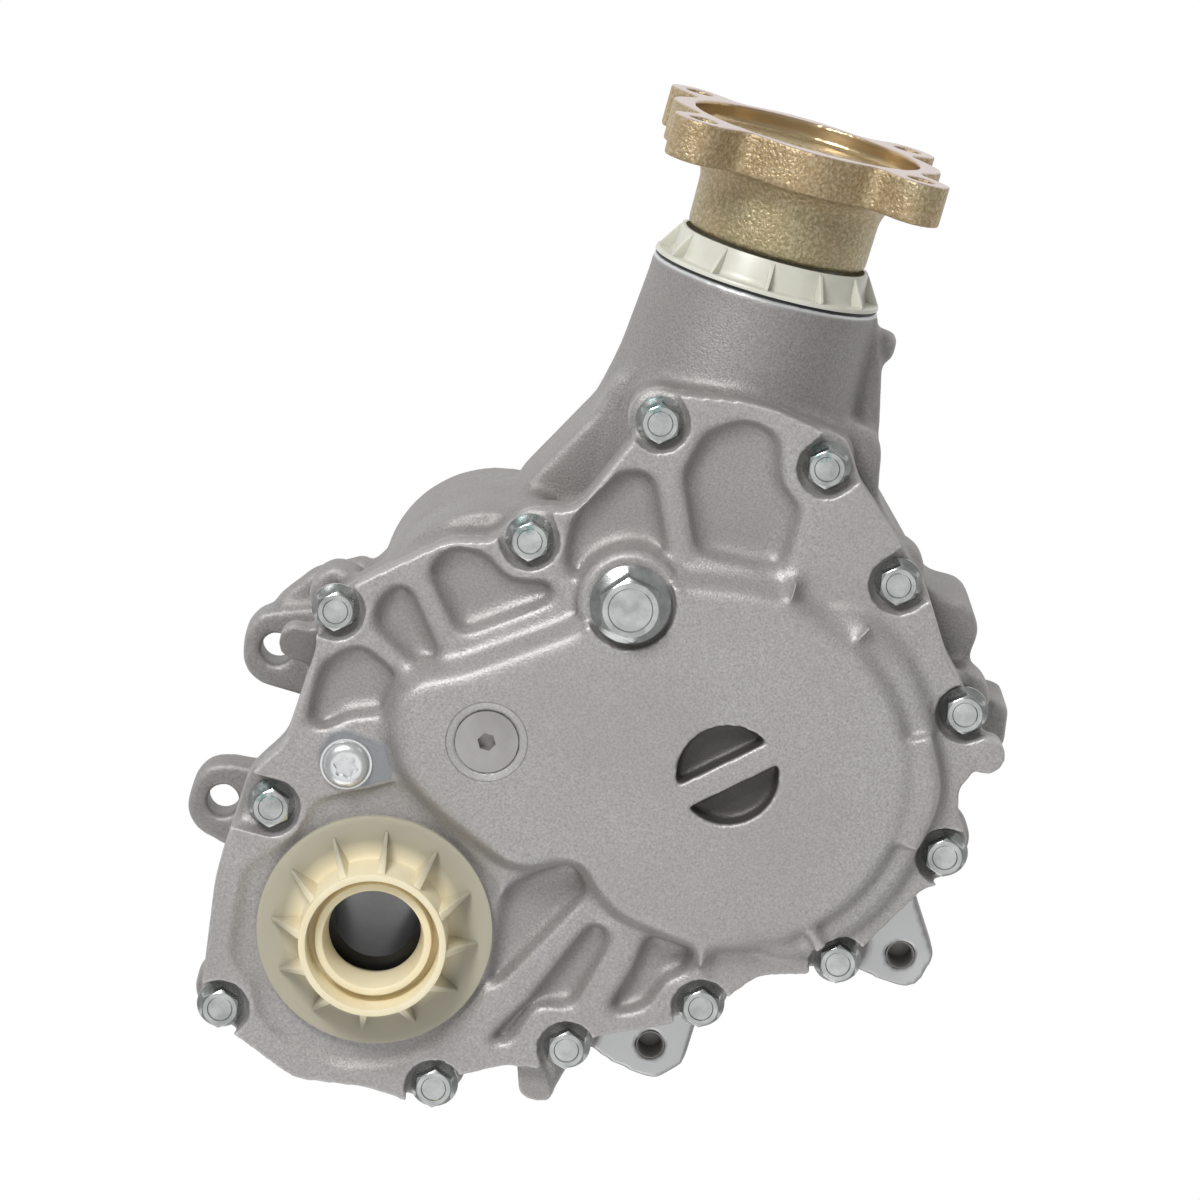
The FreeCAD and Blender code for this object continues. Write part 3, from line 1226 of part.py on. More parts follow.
def seals():
    """Shaft seals of the input side, the halfshaft side and the pinion neck."""
    lip_seal("transaxle_seal", size("input_seal_radius"), size("input_seal_journal"), FOOT, 6.0)
    lip_seal("halfshaft_seal", size("halfshaft_seal_radius"), size("protector_tube_radius") + 0.3,
             size("halfshaft_seal_floor"), 9.0, flip=True)
    lip_seal("pinion_seal", size("pinion_seal_radius"), size("hub_journal_radius"),
             size("pinion_seal_start"), 10.0, True, ALONG_Y, pinion_origin,
             (size("seal_brim_radius"), size("neck_end") - size("pinion_seal_start") + 0.45))


def spokes(count, inner, outer, width, first, tip):
    """Outlines of radial ribs about the origin, from their width at the root to that at the tip."""
    edges = []
    for k in range(count):
        turn = math.radians(first + 360.0 * k / count)
        along = Vector(math.cos(turn), math.sin(turn), 0)
        across = Vector(-along.y, along.x, 0)
        ring = [along * inner + across * (width / 2), along * inner - across * (width / 2),
                along * outer - across * (tip / 2), along * outer + across * (tip / 2)]
        edges += [Part.LineSegment(ring[step - 1], ring[step]) for step in range(4)]
    return edges


def seal_protector():
    """Plastic transit cap of the halfshaft seal: a dished rim, a raised collar and its gussets."""
    body = new_body("seal_protector")
    hole = size("protector_hole_radius")
    tube = size("protector_tube_radius")
    rim = size("protector_radius")
    rim_top = size("protector_rim_height")
    dish = size("protector_dish_height")
    tube_top = size("protector_tube_top")
    collar = size("protector_collar_radius")
    collar_bore = size("protector_collar_bore")
    collar_top = size("protector_collar_top")
    groove = size("protector_groove_floor")
    reach = size("protector_rib_reach")
    under = size("seal_boss_height") + RUN
    spin(body, "protector_turned", [
        (hole, rim_top - 1.5), (tube - 3.4, tube_top), (tube - 0.6, tube_top), (tube - 0.2, groove),
        (collar_bore - 0.2, groove), (collar_bore, collar_top), (collar - 0.4, collar_top), (collar, dish),
        (rim - 2.5, rim_top), (rim, rim_top), (rim, under), (tube, under), (tube, 104), (tube - 2.4, 104),
        (tube - 2.4, rim_top - 4.5), (hole, rim_top - 4.5)])
    add_prism(body, "protector_gussets", spokes(12, 26.5, float(reach), 3.0, 8.0, 1.1), dish - 0.4,
              collar_top - 1.6)
    spin(body, "gusset_slope", [
        (collar, collar_top - 1.7), (reach + 1, dish + 2.2), (reach + 1, collar_top + 1),
        (collar, collar_top + 1)], cut=True)
    return body


def output_flange():
    """Drive flange with four lobes, its hub, pilot recess and puller holes."""
    body = new_body("output_flange", pinion_origin, ALONG_Y)
    bore = 13.05
    journal = size("hub_journal_radius")
    hub = size("hub_radius")
    back = size("flange_back")
    face = size("flange_face")
    pilot_floor = face - size("flange_pilot_depth")
    spin(body, "hub_turned", [
        (bore, size("tail_bearing_end")), (journal, size("tail_bearing_end")), (journal, size("hub_start")),
        (hub - 1.6, size("hub_start")), (hub, size("hub_start") + 1.6), (hub + 0.3, back - 9),
        (hub + 1.5, back - 5), (hub + 3.8, back - 2), (hub + 8, back), (hub + 8, back + 2), (bore, back + 2)])
    reach = float(size("flange_bolt_radius"))
    lobe = float(size("flange_lobe_radius"))
    corners = []
    for k in range(4):
        lean = math.radians(45 + 90 * k)
        for along, across, rounding in ((46, -11.5, 6), (reach + lobe, -lobe, lobe - 0.1),
                                        (reach + lobe, lobe, lobe - 0.1), (46, 11.5, 6)):
            corners.append((along * math.cos(lean) - across * math.sin(lean),
                            along * math.sin(lean) + across * math.cos(lean), rounding))
        between = lean + math.pi / 4
        corners.append((55 * math.cos(between), 55 * math.sin(between), 46))
    add_prism(body, "lobed_plate", rounded_edges(corners), back, face)
    cut_discs(body, "pilot_recess", [(0, 0, size("flange_pilot_radius"))], face, pilot_floor)
    cut_discs(body, "nut_recess", [(0, 0, 22)], pilot_floor, 298)
    cut_discs(body, "bolt_circle", [
        (reach * math.cos(math.radians(45 + 90 * k)), reach * math.sin(math.radians(45 + 90 * k)),
         size("flange_hole_radius")) for k in range(4)], face, back - 1)
    cut_discs(body, "puller_holes", [
        (34 * math.cos(math.radians(turn)), 34 * math.sin(math.radians(turn)), 3.2) for turn in (-45, 135)],
        pilot_floor, back - 1)
    nut = new_body("pinion_nut", pinion_origin, ALONG_Y)
    add_prism(nut, "nut_hex", rounded_edges(hexagon(30)), 300, 310)
    cut_discs(nut, "nut_thread", [(0, 0, 10.02)], 310, 299)
    turned_piece("pinion_nut_washer", [(10.2, 298), (19, 298), (19, 300), (10.2, 300)], pinion_origin, ALONG_Y)
    shield = new_body("dust_shield", pinion_origin, ALONG_Y)
    rim = size("shield_radius")
    start = size("neck_end") + 0.8
    inside = journal + FIT
    shield_top = size("hub_start") - 0.3
    spin(shield, "shield_turned", [
        (inside, start), (rim, start), (rim - 0.4, start + 1.6), (37.6, start + 1.6), (35.8, shield_top),
        (34.2, shield_top), (35.6, start + 1.6), (inside + 2, start + 1.6), (inside + 2, shield_top),
        (inside, shield_top)])
    add_prism(shield, "shield_gussets", spokes(12, 35, 42, 1.6, -3.0, 1.2), start + 1, shield_top - 0.4)
    spin(shield, "shield_slope", [
        (35.4, shield_top - 0.5), (43, start + 2.2), (43, shield_top + 1), (35.4, shield_top + 1)], cut=True)
    spin(shield, "shield_inside", [
        (inside + 2, start + 1.6), (35.2, start + 1.6), (34.2, shield_top - 0.6), (34.2, shield_top + 1),
        (inside + 2, shield_top + 1)], cut=True)
    return body


main_housing()
front_cover()
fasteners()
transfer_gears()
shafts_and_bearings()
ring_gear()
pinion()
seals()
seal_protector()
output_flange()
merge_faces()
doc.recompute()
check_state("whole unit")
os.makedirs("parts", exist_ok=True)
for piece in sub_parts:
    shape = piece.Shape
    if shape.isNull() or not shape.isValid() or not shape.Solids:
        raise ValueError(piece.Label + " has no valid solid")
    box = shape.BoundBox
    print("%s: %d solid, x %.1f..%.1f y %.1f..%.1f z %.1f..%.1f" % (
        piece.Label, len(shape.Solids), box.XMin, box.XMax, box.YMin, box.YMax, box.ZMin, box.ZMax))
    shape.exportStep("parts/%s.step" % piece.Label)
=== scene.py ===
import json
import math

import bmesh
import bpy
from mathutils import Matrix, Vector, kdtree, noise


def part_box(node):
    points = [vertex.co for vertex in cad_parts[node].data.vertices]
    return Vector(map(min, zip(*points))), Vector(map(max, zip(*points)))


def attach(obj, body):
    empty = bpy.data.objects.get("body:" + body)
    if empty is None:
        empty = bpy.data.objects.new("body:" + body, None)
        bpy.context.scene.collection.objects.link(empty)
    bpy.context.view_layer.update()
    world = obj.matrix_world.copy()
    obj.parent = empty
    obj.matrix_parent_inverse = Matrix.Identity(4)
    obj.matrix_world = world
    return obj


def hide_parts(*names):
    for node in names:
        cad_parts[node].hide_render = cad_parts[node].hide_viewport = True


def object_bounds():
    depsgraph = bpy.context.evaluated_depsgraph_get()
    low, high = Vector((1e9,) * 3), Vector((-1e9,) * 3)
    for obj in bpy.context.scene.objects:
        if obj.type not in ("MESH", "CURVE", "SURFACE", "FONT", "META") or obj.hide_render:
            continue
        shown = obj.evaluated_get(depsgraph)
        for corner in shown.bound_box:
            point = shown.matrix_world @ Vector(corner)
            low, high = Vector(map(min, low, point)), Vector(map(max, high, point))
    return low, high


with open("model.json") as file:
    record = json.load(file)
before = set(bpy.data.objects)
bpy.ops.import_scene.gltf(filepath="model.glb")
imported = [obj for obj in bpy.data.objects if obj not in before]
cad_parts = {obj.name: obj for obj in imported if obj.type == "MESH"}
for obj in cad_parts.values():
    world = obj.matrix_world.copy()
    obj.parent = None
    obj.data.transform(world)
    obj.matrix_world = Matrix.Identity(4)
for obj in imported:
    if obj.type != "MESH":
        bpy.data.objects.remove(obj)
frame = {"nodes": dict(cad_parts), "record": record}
cadBox = [list(corner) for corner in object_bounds()]
nodes = frame["nodes"]
mm = 0.001
scene = bpy.context.scene
print("frame loaded:", len(nodes), "nodes")

# heights of the cover that the finish follows, in metres
padHeight = 0.117
seatHeight = 0.1095


def middle(node):
    low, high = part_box(node)
    return (low + high) / 2


# axes that the finish follows
idlerAxis = middle("idler_shaft")
ringAxis = middle("ring_shaft")
plugAxis = middle("fill_plug_washer")
checkAxis = middle("check_screw_washer")
inputAxis = middle("input_shaft")
pinionAxis = middle("pinion_nut")


def newObject(name, mesh):
    piece = bpy.data.objects.new(name, mesh)
    scene.collection.objects.link(piece)
    return piece


# shader helpers: a value may be a number, a colour or a socket
def fill(tree, socket, value):
    if isinstance(value, bpy.types.NodeSocket):
        tree.links.new(value, socket)
    elif isinstance(value, (tuple, list)) and len(socket.default_value) == 4:
        socket.default_value = (*value, 1.0)
    else:
        socket.default_value = value


def newMaterial(name):
    material = bpy.data.materials.new(name)
    material.use_nodes = True
    tree = material.node_tree
    return material, tree, tree.nodes["Principled BSDF"]


def addNode(tree, kind, **values):
    node = tree.nodes.new(kind)
    for key, value in values.items():
        setattr(node, key, value)
    return node


def mixColor(tree, factor, first, second):
    node = addNode(tree, "ShaderNodeMix", data_type="RGBA")
    fill(tree, node.inputs[0], factor)
    fill(tree, node.inputs[6], first)
    fill(tree, node.inputs[7], second)
    return node.outputs[2]


def mathNode(tree, operation, first, second=0.0):
    node = addNode(tree, "ShaderNodeMath", operation=operation)
    fill(tree, node.inputs[0], first)
    fill(tree, node.inputs[1], second)
    return node.outputs[0]


def remap(tree, value, low, high, start=0.0, end=1.0):
    node = addNode(tree, "ShaderNodeMapRange", clamp=True)
    fill(tree, node.inputs[0], value)
    for index, number in ((1, low), (2, high), (3, start), (4, end)):
        node.inputs[index].default_value = number
    return node.outputs[0]


def noiseNode(tree, vector, scale, detail=2.0, roughness=0.5):
    node = addNode(tree, "ShaderNodeTexNoise")
    fill(tree, node.inputs["Vector"], vector)
    node.inputs["Scale"].default_value = scale
    node.inputs["Detail"].default_value = detail
    node.inputs["Roughness"].default_value = roughness
    return node.outputs["Fac"]


# a material's Object coordinates and a few measures taken from them
class Place:
    def __init__(self, tree):
        self.tree = tree
        source = tree.nodes.new("ShaderNodeTexCoord")
        self.point = source.outputs["Object"]
        self.normal = source.outputs["Normal"]
        split = tree.nodes.new("ShaderNodeSeparateXYZ")
        tree.links.new(self.point, split.inputs[0])
        self.x, self.y, self.z = split.outputs
        facing = tree.nodes.new("ShaderNodeSeparateXYZ")
        tree.links.new(self.normal, facing.inputs[0])
        self.nx, self.ny, self.nz = facing.outputs

    def fromAxis(self, centre, along="Z"):
        offset = addNode(self.tree, "ShaderNodeVectorMath", operation="SUBTRACT")
        fill(self.tree, offset.inputs[0], self.point)
        offset.inputs[1].default_value = centre
        flat = addNode(self.tree, "ShaderNodeVectorMath", operation="MULTIPLY")
        fill(self.tree, flat.inputs[0], offset.outputs[0])
        flat.inputs[1].default_value = (1, 1, 0) if along == "Z" else (1, 0, 1)
        size = addNode(self.tree, "ShaderNodeVectorMath", operation="LENGTH")
        fill(self.tree, size.inputs[0], flat.outputs[0])
        return size.outputs["Value"]

    def band(self, value, low, high, soft=0.0003):
        rise = remap(self.tree, value, low - soft, low + soft)
        fall = remap(self.tree, value, high - soft, high + soft, 1.0, 0.0)
        return mathNode(self.tree, "MULTIPLY", rise, fall)


def allOf(tree, *masks):
    result = masks[0]
    for mask in masks[1:]:
        result = mathNode(tree, "MULTIPLY", result, mask)
    return result


# sand-cast grain: fine speckle, soft blotches and a height for the bump
def makeGrainGroup():
    tree = bpy.data.node_groups.new("castGrain", "ShaderNodeTree")
    for label, value in (("Scale", 900.0), ("Blotch", 28.0)):
        tree.interface.new_socket(label, in_out="INPUT", socket_type="NodeSocketFloat").default_value = value
    for label in ("Speckle", "Blotches", "Height"):
        tree.interface.new_socket(label, in_out="OUTPUT", socket_type="NodeSocketFloat")
    source = tree.nodes.new("NodeGroupInput")
    result = tree.nodes.new("NodeGroupOutput")
    place = tree.nodes.new("ShaderNodeTexCoord")
    fine = addNode(tree, "ShaderNodeTexNoise")
    fine.inputs["Detail"].default_value = 3.0
    fine.inputs["Roughness"].default_value = 0.65
    wide = addNode(tree, "ShaderNodeTexNoise")
    wide.inputs["Detail"].default_value = 4.0
    pits = addNode(tree, "ShaderNodeTexVoronoi")
    for node, socket in ((fine, "Scale"), (wide, "Blotch"), (pits, "Scale")):
        tree.links.new(place.outputs["Object"], node.inputs["Vector"])
        tree.links.new(source.outputs[socket], node.inputs["Scale"])
    depth = remap(tree, pits.outputs["Distance"], 0.0, 0.6)
    height = mathNode(tree, "ADD", mathNode(tree, "MULTIPLY", fine.outputs["Fac"], 0.7),
                      mathNode(tree, "MULTIPLY", depth, 0.3))
    for socket, value in (("Speckle", fine.outputs["Fac"]), ("Blotches", wide.outputs["Fac"]), ("Height", height)):
        tree.links.new(value, result.inputs[socket])
    return tree


grainGroup = makeGrainGroup()


def placeGrain(tree, scale, blotch):
    node = addNode(tree, "ShaderNodeGroup", node_tree=grainGroup)
    node.inputs["Scale"].default_value = scale
    node.inputs["Blotch"].default_value = blotch
    return node.outputs


def addBump(tree, shader, height, strength, distance):
    bump = addNode(tree, "ShaderNodeBump")
    fill(tree, bump.inputs["Strength"], strength)
    bump.inputs["Distance"].default_value = distance
    fill(tree, bump.inputs["Height"], height)
    tree.links.new(bump.outputs["Normal"], shader.inputs["Normal"])


castFinish = {
    "grain": 1100.0, "blotch": 26.0,
    "dark": (0.310, 0.298, 0.294), "light": (0.53, 0.515, 0.508),
    "stain": (0.37, 0.347, 0.332), "blotchAmount": 0.35,
    # pocket floors darkened: painted shade in the recesses
    "low": (0.20, 0.19, 0.182), "lowAmount": 0.30,
    # near black for the half-moon floors by the ring shaft: painted shade in those deep recesses
    "moon": (0.066, 0.062, 0.058),
    # lighter colour on convex edges: a painted highlight
    "edge": (0.70, 0.69, 0.68), "edgeAmount": 0.55,
    # darker colour in concave creases, also used for the gap lines: painted shade
    "crease": (0.15, 0.14, 0.135), "creaseAmount": 0.65,
    "machined": (0.62, 0.625, 0.63), "padTone": (0.24, 0.255, 0.28),
    "metallic": 0.45, "roughness": 0.47, "bump": 0.5,
}
# the housing: darker cast tone and a dimmer painted highlight on its convex edges
housingFinish = dict(castFinish, dark=(0.235, 0.224, 0.219), light=(0.40, 0.386, 0.378), stain=(0.29, 0.27, 0.258),
                     edge=(0.60, 0.59, 0.58), roughness=0.52)


# cast aluminium with painted shade in pockets, half-moon floors, creases and gap lines and a painted highlight on
# convex edges; low and machined are masks built from the piece's own coordinates
def castAluminium(name, settings, maskMaker):
    material, tree, shader = newMaterial(name)
    place = Place(tree)
    grain = placeGrain(tree, settings["grain"], settings["blotch"])
    masks = maskMaker(tree, place)
    speckle = remap(tree, grain["Speckle"], 0.3, 0.7)
    base = mixColor(tree, speckle, settings["dark"], settings["light"])
    blotch = remap(tree, grain["Blotches"], 0.35, 0.65, 0.0, settings["blotchAmount"])
    base = mixColor(tree, blotch, base, settings["stain"])
    # pocket floors below the pad darkened: painted shade in the recesses
    base = mixColor(tree, mathNode(tree, "MULTIPLY", masks["low"], settings["lowAmount"]), base, settings["low"])
    # half-moon floors by the ring shaft made near black: painted shade
    base = mixColor(tree, masks["moon"], base, settings["moon"])
    form = tree.nodes.new("ShaderNodeNewGeometry")
    # convex edges, found by pointiness, lightened: a painted highlight
    edge = remap(tree, form.outputs["Pointiness"], 0.512, 0.56, 0.0, settings["edgeAmount"])
    base = mixColor(tree, edge, base, settings["edge"])
    # concave creases darkened: painted shade
    crease = remap(tree, form.outputs["Pointiness"], 0.490, 0.44, 0.0, settings["creaseAmount"])
    base = mixColor(tree, crease, base, settings["crease"])
    base = mixColor(tree, masks["machined"], base, settings["machined"])
    base = mixColor(tree, masks["pad"], base, settings["padTone"])
    # thin dark lines round the idler cap and along the housing seam: painted shade in the gaps between parts
    base = mixColor(tree, masks["line"], base, settings["crease"])
    fill(tree, shader.inputs["Base Color"], base)
    cut = mathNode(tree, "MAXIMUM", masks["machined"], masks["pad"])
    shader.inputs["Metallic"].default_value = settings["metallic"]
    skin = remap(tree, grain["Blotches"], 0.3, 0.7, settings["roughness"] - 0.04, settings["roughness"] + 0.05)
    smooth = mathNode(tree, "MULTIPLY", cut, -0.16)
    fill(tree, shader.inputs["Roughness"], mathNode(tree, "ADD", skin, smooth))
    strength = remap(tree, cut, 0.0, 1.0, settings["bump"], 0.05)
    addBump(tree, shader, grain["Height"], strength, 0.0004)
    return material


# where the cover's marks lie: heights, and distances from the axis that each one surrounds; the low, half-moon and
# cap-line marks place painted shade
coverMarks = {
    "low": (0.1100, 0.1155), "moonReach": 0.0190, "moon": (0.1262, 0.1276), "capRing": (0.0116, 0.0146),
    "capLine": (0.0147, 0.0151), "capStart": (0.1255, 0.126), "pad": (0.1174, 0.1190), "padReach": 0.0175,
}


def coverMasks(tree, place):
    fromIdler = place.fromAxis(idlerAxis)
    fromRing = place.fromAxis(ringAxis)
    fromCheck = place.fromAxis(checkAxis)
    # darker below the pad: painted shade on the pocket floors
    low = remap(tree, place.z, *coverMarks["low"], 1.0, 0.0)
    # half-moon floors near the ring shaft: painted shade in the recess
    moon = allOf(tree, place.band(fromRing, -1.0, coverMarks["moonReach"]),
                 remap(tree, place.z, *coverMarks["moon"], 0.9, 0.0))
    onCap = remap(tree, place.z, *coverMarks["capStart"])
    capRing = allOf(tree, place.band(fromIdler, *coverMarks["capRing"]), onCap)
    # a thin ring at the cap's outer edge: painted shade in the gap round the idler cap
    line = allOf(tree, place.band(fromIdler, *coverMarks["capLine"], 0.0001), onCap)
    pad = allOf(tree, place.band(place.z, *coverMarks["pad"]), place.band(fromCheck, -1.0, coverMarks["padReach"]),
                remap(tree, place.nz, 0.9, 0.97))
    return {"low": low, "moon": moon, "machined": mathNode(tree, "MULTIPLY", capRing, 0.3),
            "pad": mathNode(tree, "MULTIPLY", pad, 0.8), "line": mathNode(tree, "MULTIPLY", line, 0.6)}


# machined faces of the housing: lug tops, foot and neck rim, and a painted shade line along the seam under the cover
housingMarks = {
    "lugTop": (0.0893, 0.0907), "lugAlong": (-0.045, 0.063), "lugAcross": (0.088, 0.0885),
    "rim": (0.2612, 0.2618), "seam": (0.1046, 0.1056),
}


def housingMasks(tree, place):
    lugs = allOf(tree, place.band(place.z, *housingMarks["lugTop"]), place.band(place.y, *housingMarks["lugAlong"]),
                 remap(tree, place.nz, 0.8, 0.95), remap(tree, place.x, *housingMarks["lugAcross"]))
    foot = allOf(tree, remap(tree, place.z, 0.0003, -0.0003), remap(tree, place.nz, -0.8, -0.95))
    rim = remap(tree, place.y, *housingMarks["rim"])
    machined = mathNode(tree, "MAXIMUM", lugs, mathNode(tree, "MAXIMUM", foot, rim))
    nothing = mathNode(tree, "MULTIPLY", place.z, 0.0)
    # a thin band at the joint height: painted shade in the gap under the cover
    seam = place.band(place.z, *housingMarks["seam"], 0.0002)
    return {"low": nothing, "moon": nothing, "machined": machined, "pad": nothing,
            "line": mathNode(tree, "MULTIPLY", seam, 0.6)}


# metals without a cast skin
def plainMetal(name, settings):
    material, tree, shader = newMaterial(name)
    grain = placeGrain(tree, settings["grain"], settings.get("blotch", 60.0))
    tone = remap(tree, grain["Blotches"], 0.3, 0.7)
    base = mixColor(tree, tone, settings["dark"], settings["light"])
    if "paint" in settings:
        mark = addNode(tree, "ShaderNodeAttribute", attribute_name="paintMark")
        broken = remap(tree, noiseNode(tree, Place(tree).point, 700.0), 0.42, 0.55)
        worn = mathNode(tree, "MULTIPLY", broken, settings["paintAmount"])
        base = mixColor(tree, mathNode(tree, "MULTIPLY", mark.outputs["Fac"], worn), base, settings["paint"])
    fill(tree, shader.inputs["Base Color"], base)
    shader.inputs["Metallic"].default_value = settings["metallic"]
    fill(tree, shader.inputs["Roughness"], remap(
        tree, grain["Speckle"], 0.3, 0.7, settings["roughness"] - 0.04, settings["roughness"] + 0.04))
    addBump(tree, shader, grain["Height"], settings["bump"], 0.0002)
    return material


metalFinishes = {
    "steel": {"grain": 1500.0, "dark": (0.42, 0.43, 0.45), "light": (0.62, 0.63, 0.65),
              "metallic": 1.0, "roughness": 0.32, "bump": 0.05},
    "zinc": {"grain": 1400.0, "dark": (0.33, 0.345, 0.34), "light": (0.56, 0.575, 0.567),
             "metallic": 0.95, "roughness": 0.25, "bump": 0.08, "blotch": 160.0, "paint": (0.11, 0.26, 0.24),
             "paintAmount": 0.65},
    "bright": {"grain": 1600.0, "dark": (0.66, 0.67, 0.68), "light": (0.80, 0.81, 0.81),
               "metallic": 0.85, "roughness": 0.30, "bump": 0.06},
    # input shaft near black: painted shade for the dark inside of the bore it sits in
    "darkSteel": {"grain": 1500.0, "dark": (0.035, 0.035, 0.035), "light": (0.065, 0.065, 0.063),
                  "metallic": 0.7, "roughness": 0.36, "bump": 0.05},
    "shaftEnd": {"grain": 900.0, "dark": (0.34, 0.328, 0.32), "light": (0.47, 0.457, 0.448),
                 "metallic": 0.5, "roughness": 0.42, "bump": 0.12},
}


# drive flange: rough yellow-chromate casting with painted glints on its grain, a turned face and bore
def goldCasting(settings):
    material, tree, shader = newMaterial("goldCasting")
    place = Place(tree)
    grain = placeGrain(tree, settings["grain"], settings["blotch"])
    fromPinion = place.fromAxis(pinionAxis, "Y")
    face = remap(tree, place.y, 0.31885, 0.3190)
    bore = allOf(tree, place.band(fromPinion, 0.0422, 0.0438), remap(tree, place.y, 0.3124, 0.3128))
    # bright flecks on the grain: painted glints
    sparkle = remap(tree, grain["Speckle"], 0.42, 0.68)
    high = remap(tree, place.y, 0.290, 0.304, -0.12, 0.12)
    patch = remap(tree, mathNode(tree, "ADD", grain["Blotches"], high), 0.40, 0.60)
    base = mixColor(tree, patch, settings["olive"], settings["brass"])
    base = mixColor(tree, mathNode(tree, "MULTIPLY", sparkle, 0.62), base, settings["spark"])
    base = mixColor(tree, bore, base, settings["bore"])
    base = mixColor(tree, face, base, settings["face"])
    fill(tree, shader.inputs["Base Color"], base)
    shader.inputs["Metallic"].default_value = settings["metallic"]
    turned = mathNode(tree, "MAXIMUM", face, bore)
    fill(tree, shader.inputs["Roughness"], remap(tree, turned, 0.0, 1.0, settings["rough"], settings["smooth"]))
    fill(tree, shader.inputs["Metallic"], remap(tree, turned, 0.0, 1.0, settings["metallic"], 0.9))
    addBump(tree, shader, grain["Height"], remap(tree, turned, 0.0, 1.0, 0.9, 0.04), 0.0006)
    return material


goldFinish = {
    "grain": 760.0, "blotch": 24.0, "olive": (0.33, 0.285, 0.155), "brass": (0.385, 0.28, 0.145),
    # pale gold for the bright flecks: painted glints
    "spark": (0.74, 0.62, 0.43), "bore": (0.52, 0.39, 0.22), "face": (0.60, 0.485, 0.435),
    "metallic": 0.6, "rough": 0.42, "smooth": 0.26,
}


def mouldedPlastic(name, settings):
    material, tree, shader = newMaterial(name)
    place = Place(tree)
    grain = placeGrain(tree, 300.0, settings["blotch"])
    tone = remap(tree, grain["Blotches"], 0.3, 0.7)
    base = mixColor(tree, tone, settings["dark"], settings["light"])
    if "rimTone" in settings:
        outward = remap(tree, place.fromAxis(inputAxis), *settings["rimBetween"])
        base = mixColor(tree, outward, base, settings["rimTone"])
    fill(tree, shader.inputs["Base Color"], base)
    shader.inputs["Roughness"].default_value = settings["roughness"]
    shader.inputs["Subsurface Weight"].default_value = settings["subsurface"]
    shader.inputs["Subsurface Radius"].default_value = (0.004, 0.0034, 0.0018)
    shader.inputs["Subsurface Scale"].default_value = 1.0
    addBump(tree, shader, grain["Height"], 0.04, 0.0003)
    return material


plasticFinishes = {
    "protector": {"dark": (0.83, 0.72, 0.48), "light": (0.90, 0.82, 0.60), "blotch": 40.0,
                  "rimTone": (0.44, 0.415, 0.325), "rimBetween": (0.0275, 0.0345),
                  "roughness": 0.36, "subsurface": 0.18},
    "shield": {"dark": (0.55, 0.55, 0.475), "light": (0.68, 0.68, 0.60), "blotch": 50.0,
               "roughness": 0.30, "subsurface": 0.15},
}


def blackRubber():
    material, tree, shader = newMaterial("blackRubber")
    grain = placeGrain(tree, 800.0, 60.0)
    tone = remap(tree, grain["Blotches"], 0.3, 0.7)
    fill(tree, shader.inputs["Base Color"], mixColor(tree, tone, (0.012, 0.012, 0.013), (0.03, 0.03, 0.032)))
    shader.inputs["Roughness"].default_value = 0.5
    return material


metals = {name: plainMetal(name, settings) for name, settings in metalFinishes.items()}
plastics = {name: mouldedPlastic(name, settings) for name, settings in plasticFinishes.items()}
rubber = blackRubber()
gold = goldCasting(goldFinish)
coverMaterial = castAluminium("castCover", castFinish, coverMasks)
housingMaterial = castAluminium("castHousing", housingFinish, housingMasks)
print("materials ready")

nodeFinish = {
    "front_cover": coverMaterial,
    "main_housing": housingMaterial,
    "cover_bolts": metals["zinc"],
    "fill_plug": metals["zinc"],
    "fill_plug_washer": metals["bright"],
    "check_screw": metals["bright"],
    "check_screw_washer": metals["bright"],
    "idler_shaft": metals["shaftEnd"],
    "idler_shaft_seal": rubber,
    # near black steel: painted shade inside the bore
    "input_shaft": metals["darkSteel"],
    "output_flange": gold,
    "seal_protector": plastics["protector"],
    "dust_shield": plastics["shield"],
    "halfshaft_seal": rubber,
    "transaxle_seal": rubber,
    "pinion_seal": rubber,
}
for name, node in nodes.items():
    finish = nodeFinish.get(name, metals["steel"])
    if not node.data.materials:
        node.data.materials.append(finish)
    for index in range(len(node.data.materials)):
        node.data.materials[index] = finish


def settle(piece):
    graph = bpy.context.evaluated_depsgraph_get()
    made = bpy.data.meshes.new_from_object(piece.evaluated_get(graph))
    piece.modifiers.clear()
    piece.data = made


def weldedCopy(nodeName):
    work = bmesh.new()
    work.from_mesh(nodes[nodeName].data)
    bmesh.ops.remove_doubles(work, verts=work.verts, dist=1e-6)
    return work


# points along the edges that a tool has cut: a level face that meets an upright wall
def cutEdgePoints(work, isCut):
    points = []
    for edge in work.edges:
        if len(edge.link_faces) != 2:
            continue
        rises = sorted(abs(face.normal.z) for face in edge.link_faces)
        start, end = (vert.co for vert in edge.verts)
        if rises[0] > 0.05 or rises[1] < 0.98 or not isCut((start + end) / 2):
            continue
        steps = max(1, int(edge.calc_length() / mm))
        points += [start.lerp(end, step / steps) for step in range(steps + 1)]
    tree = kdtree.KDTree(max(1, len(points)))
    for index, point in enumerate(points):
        tree.insert(point, index)
    tree.balance()
    return tree


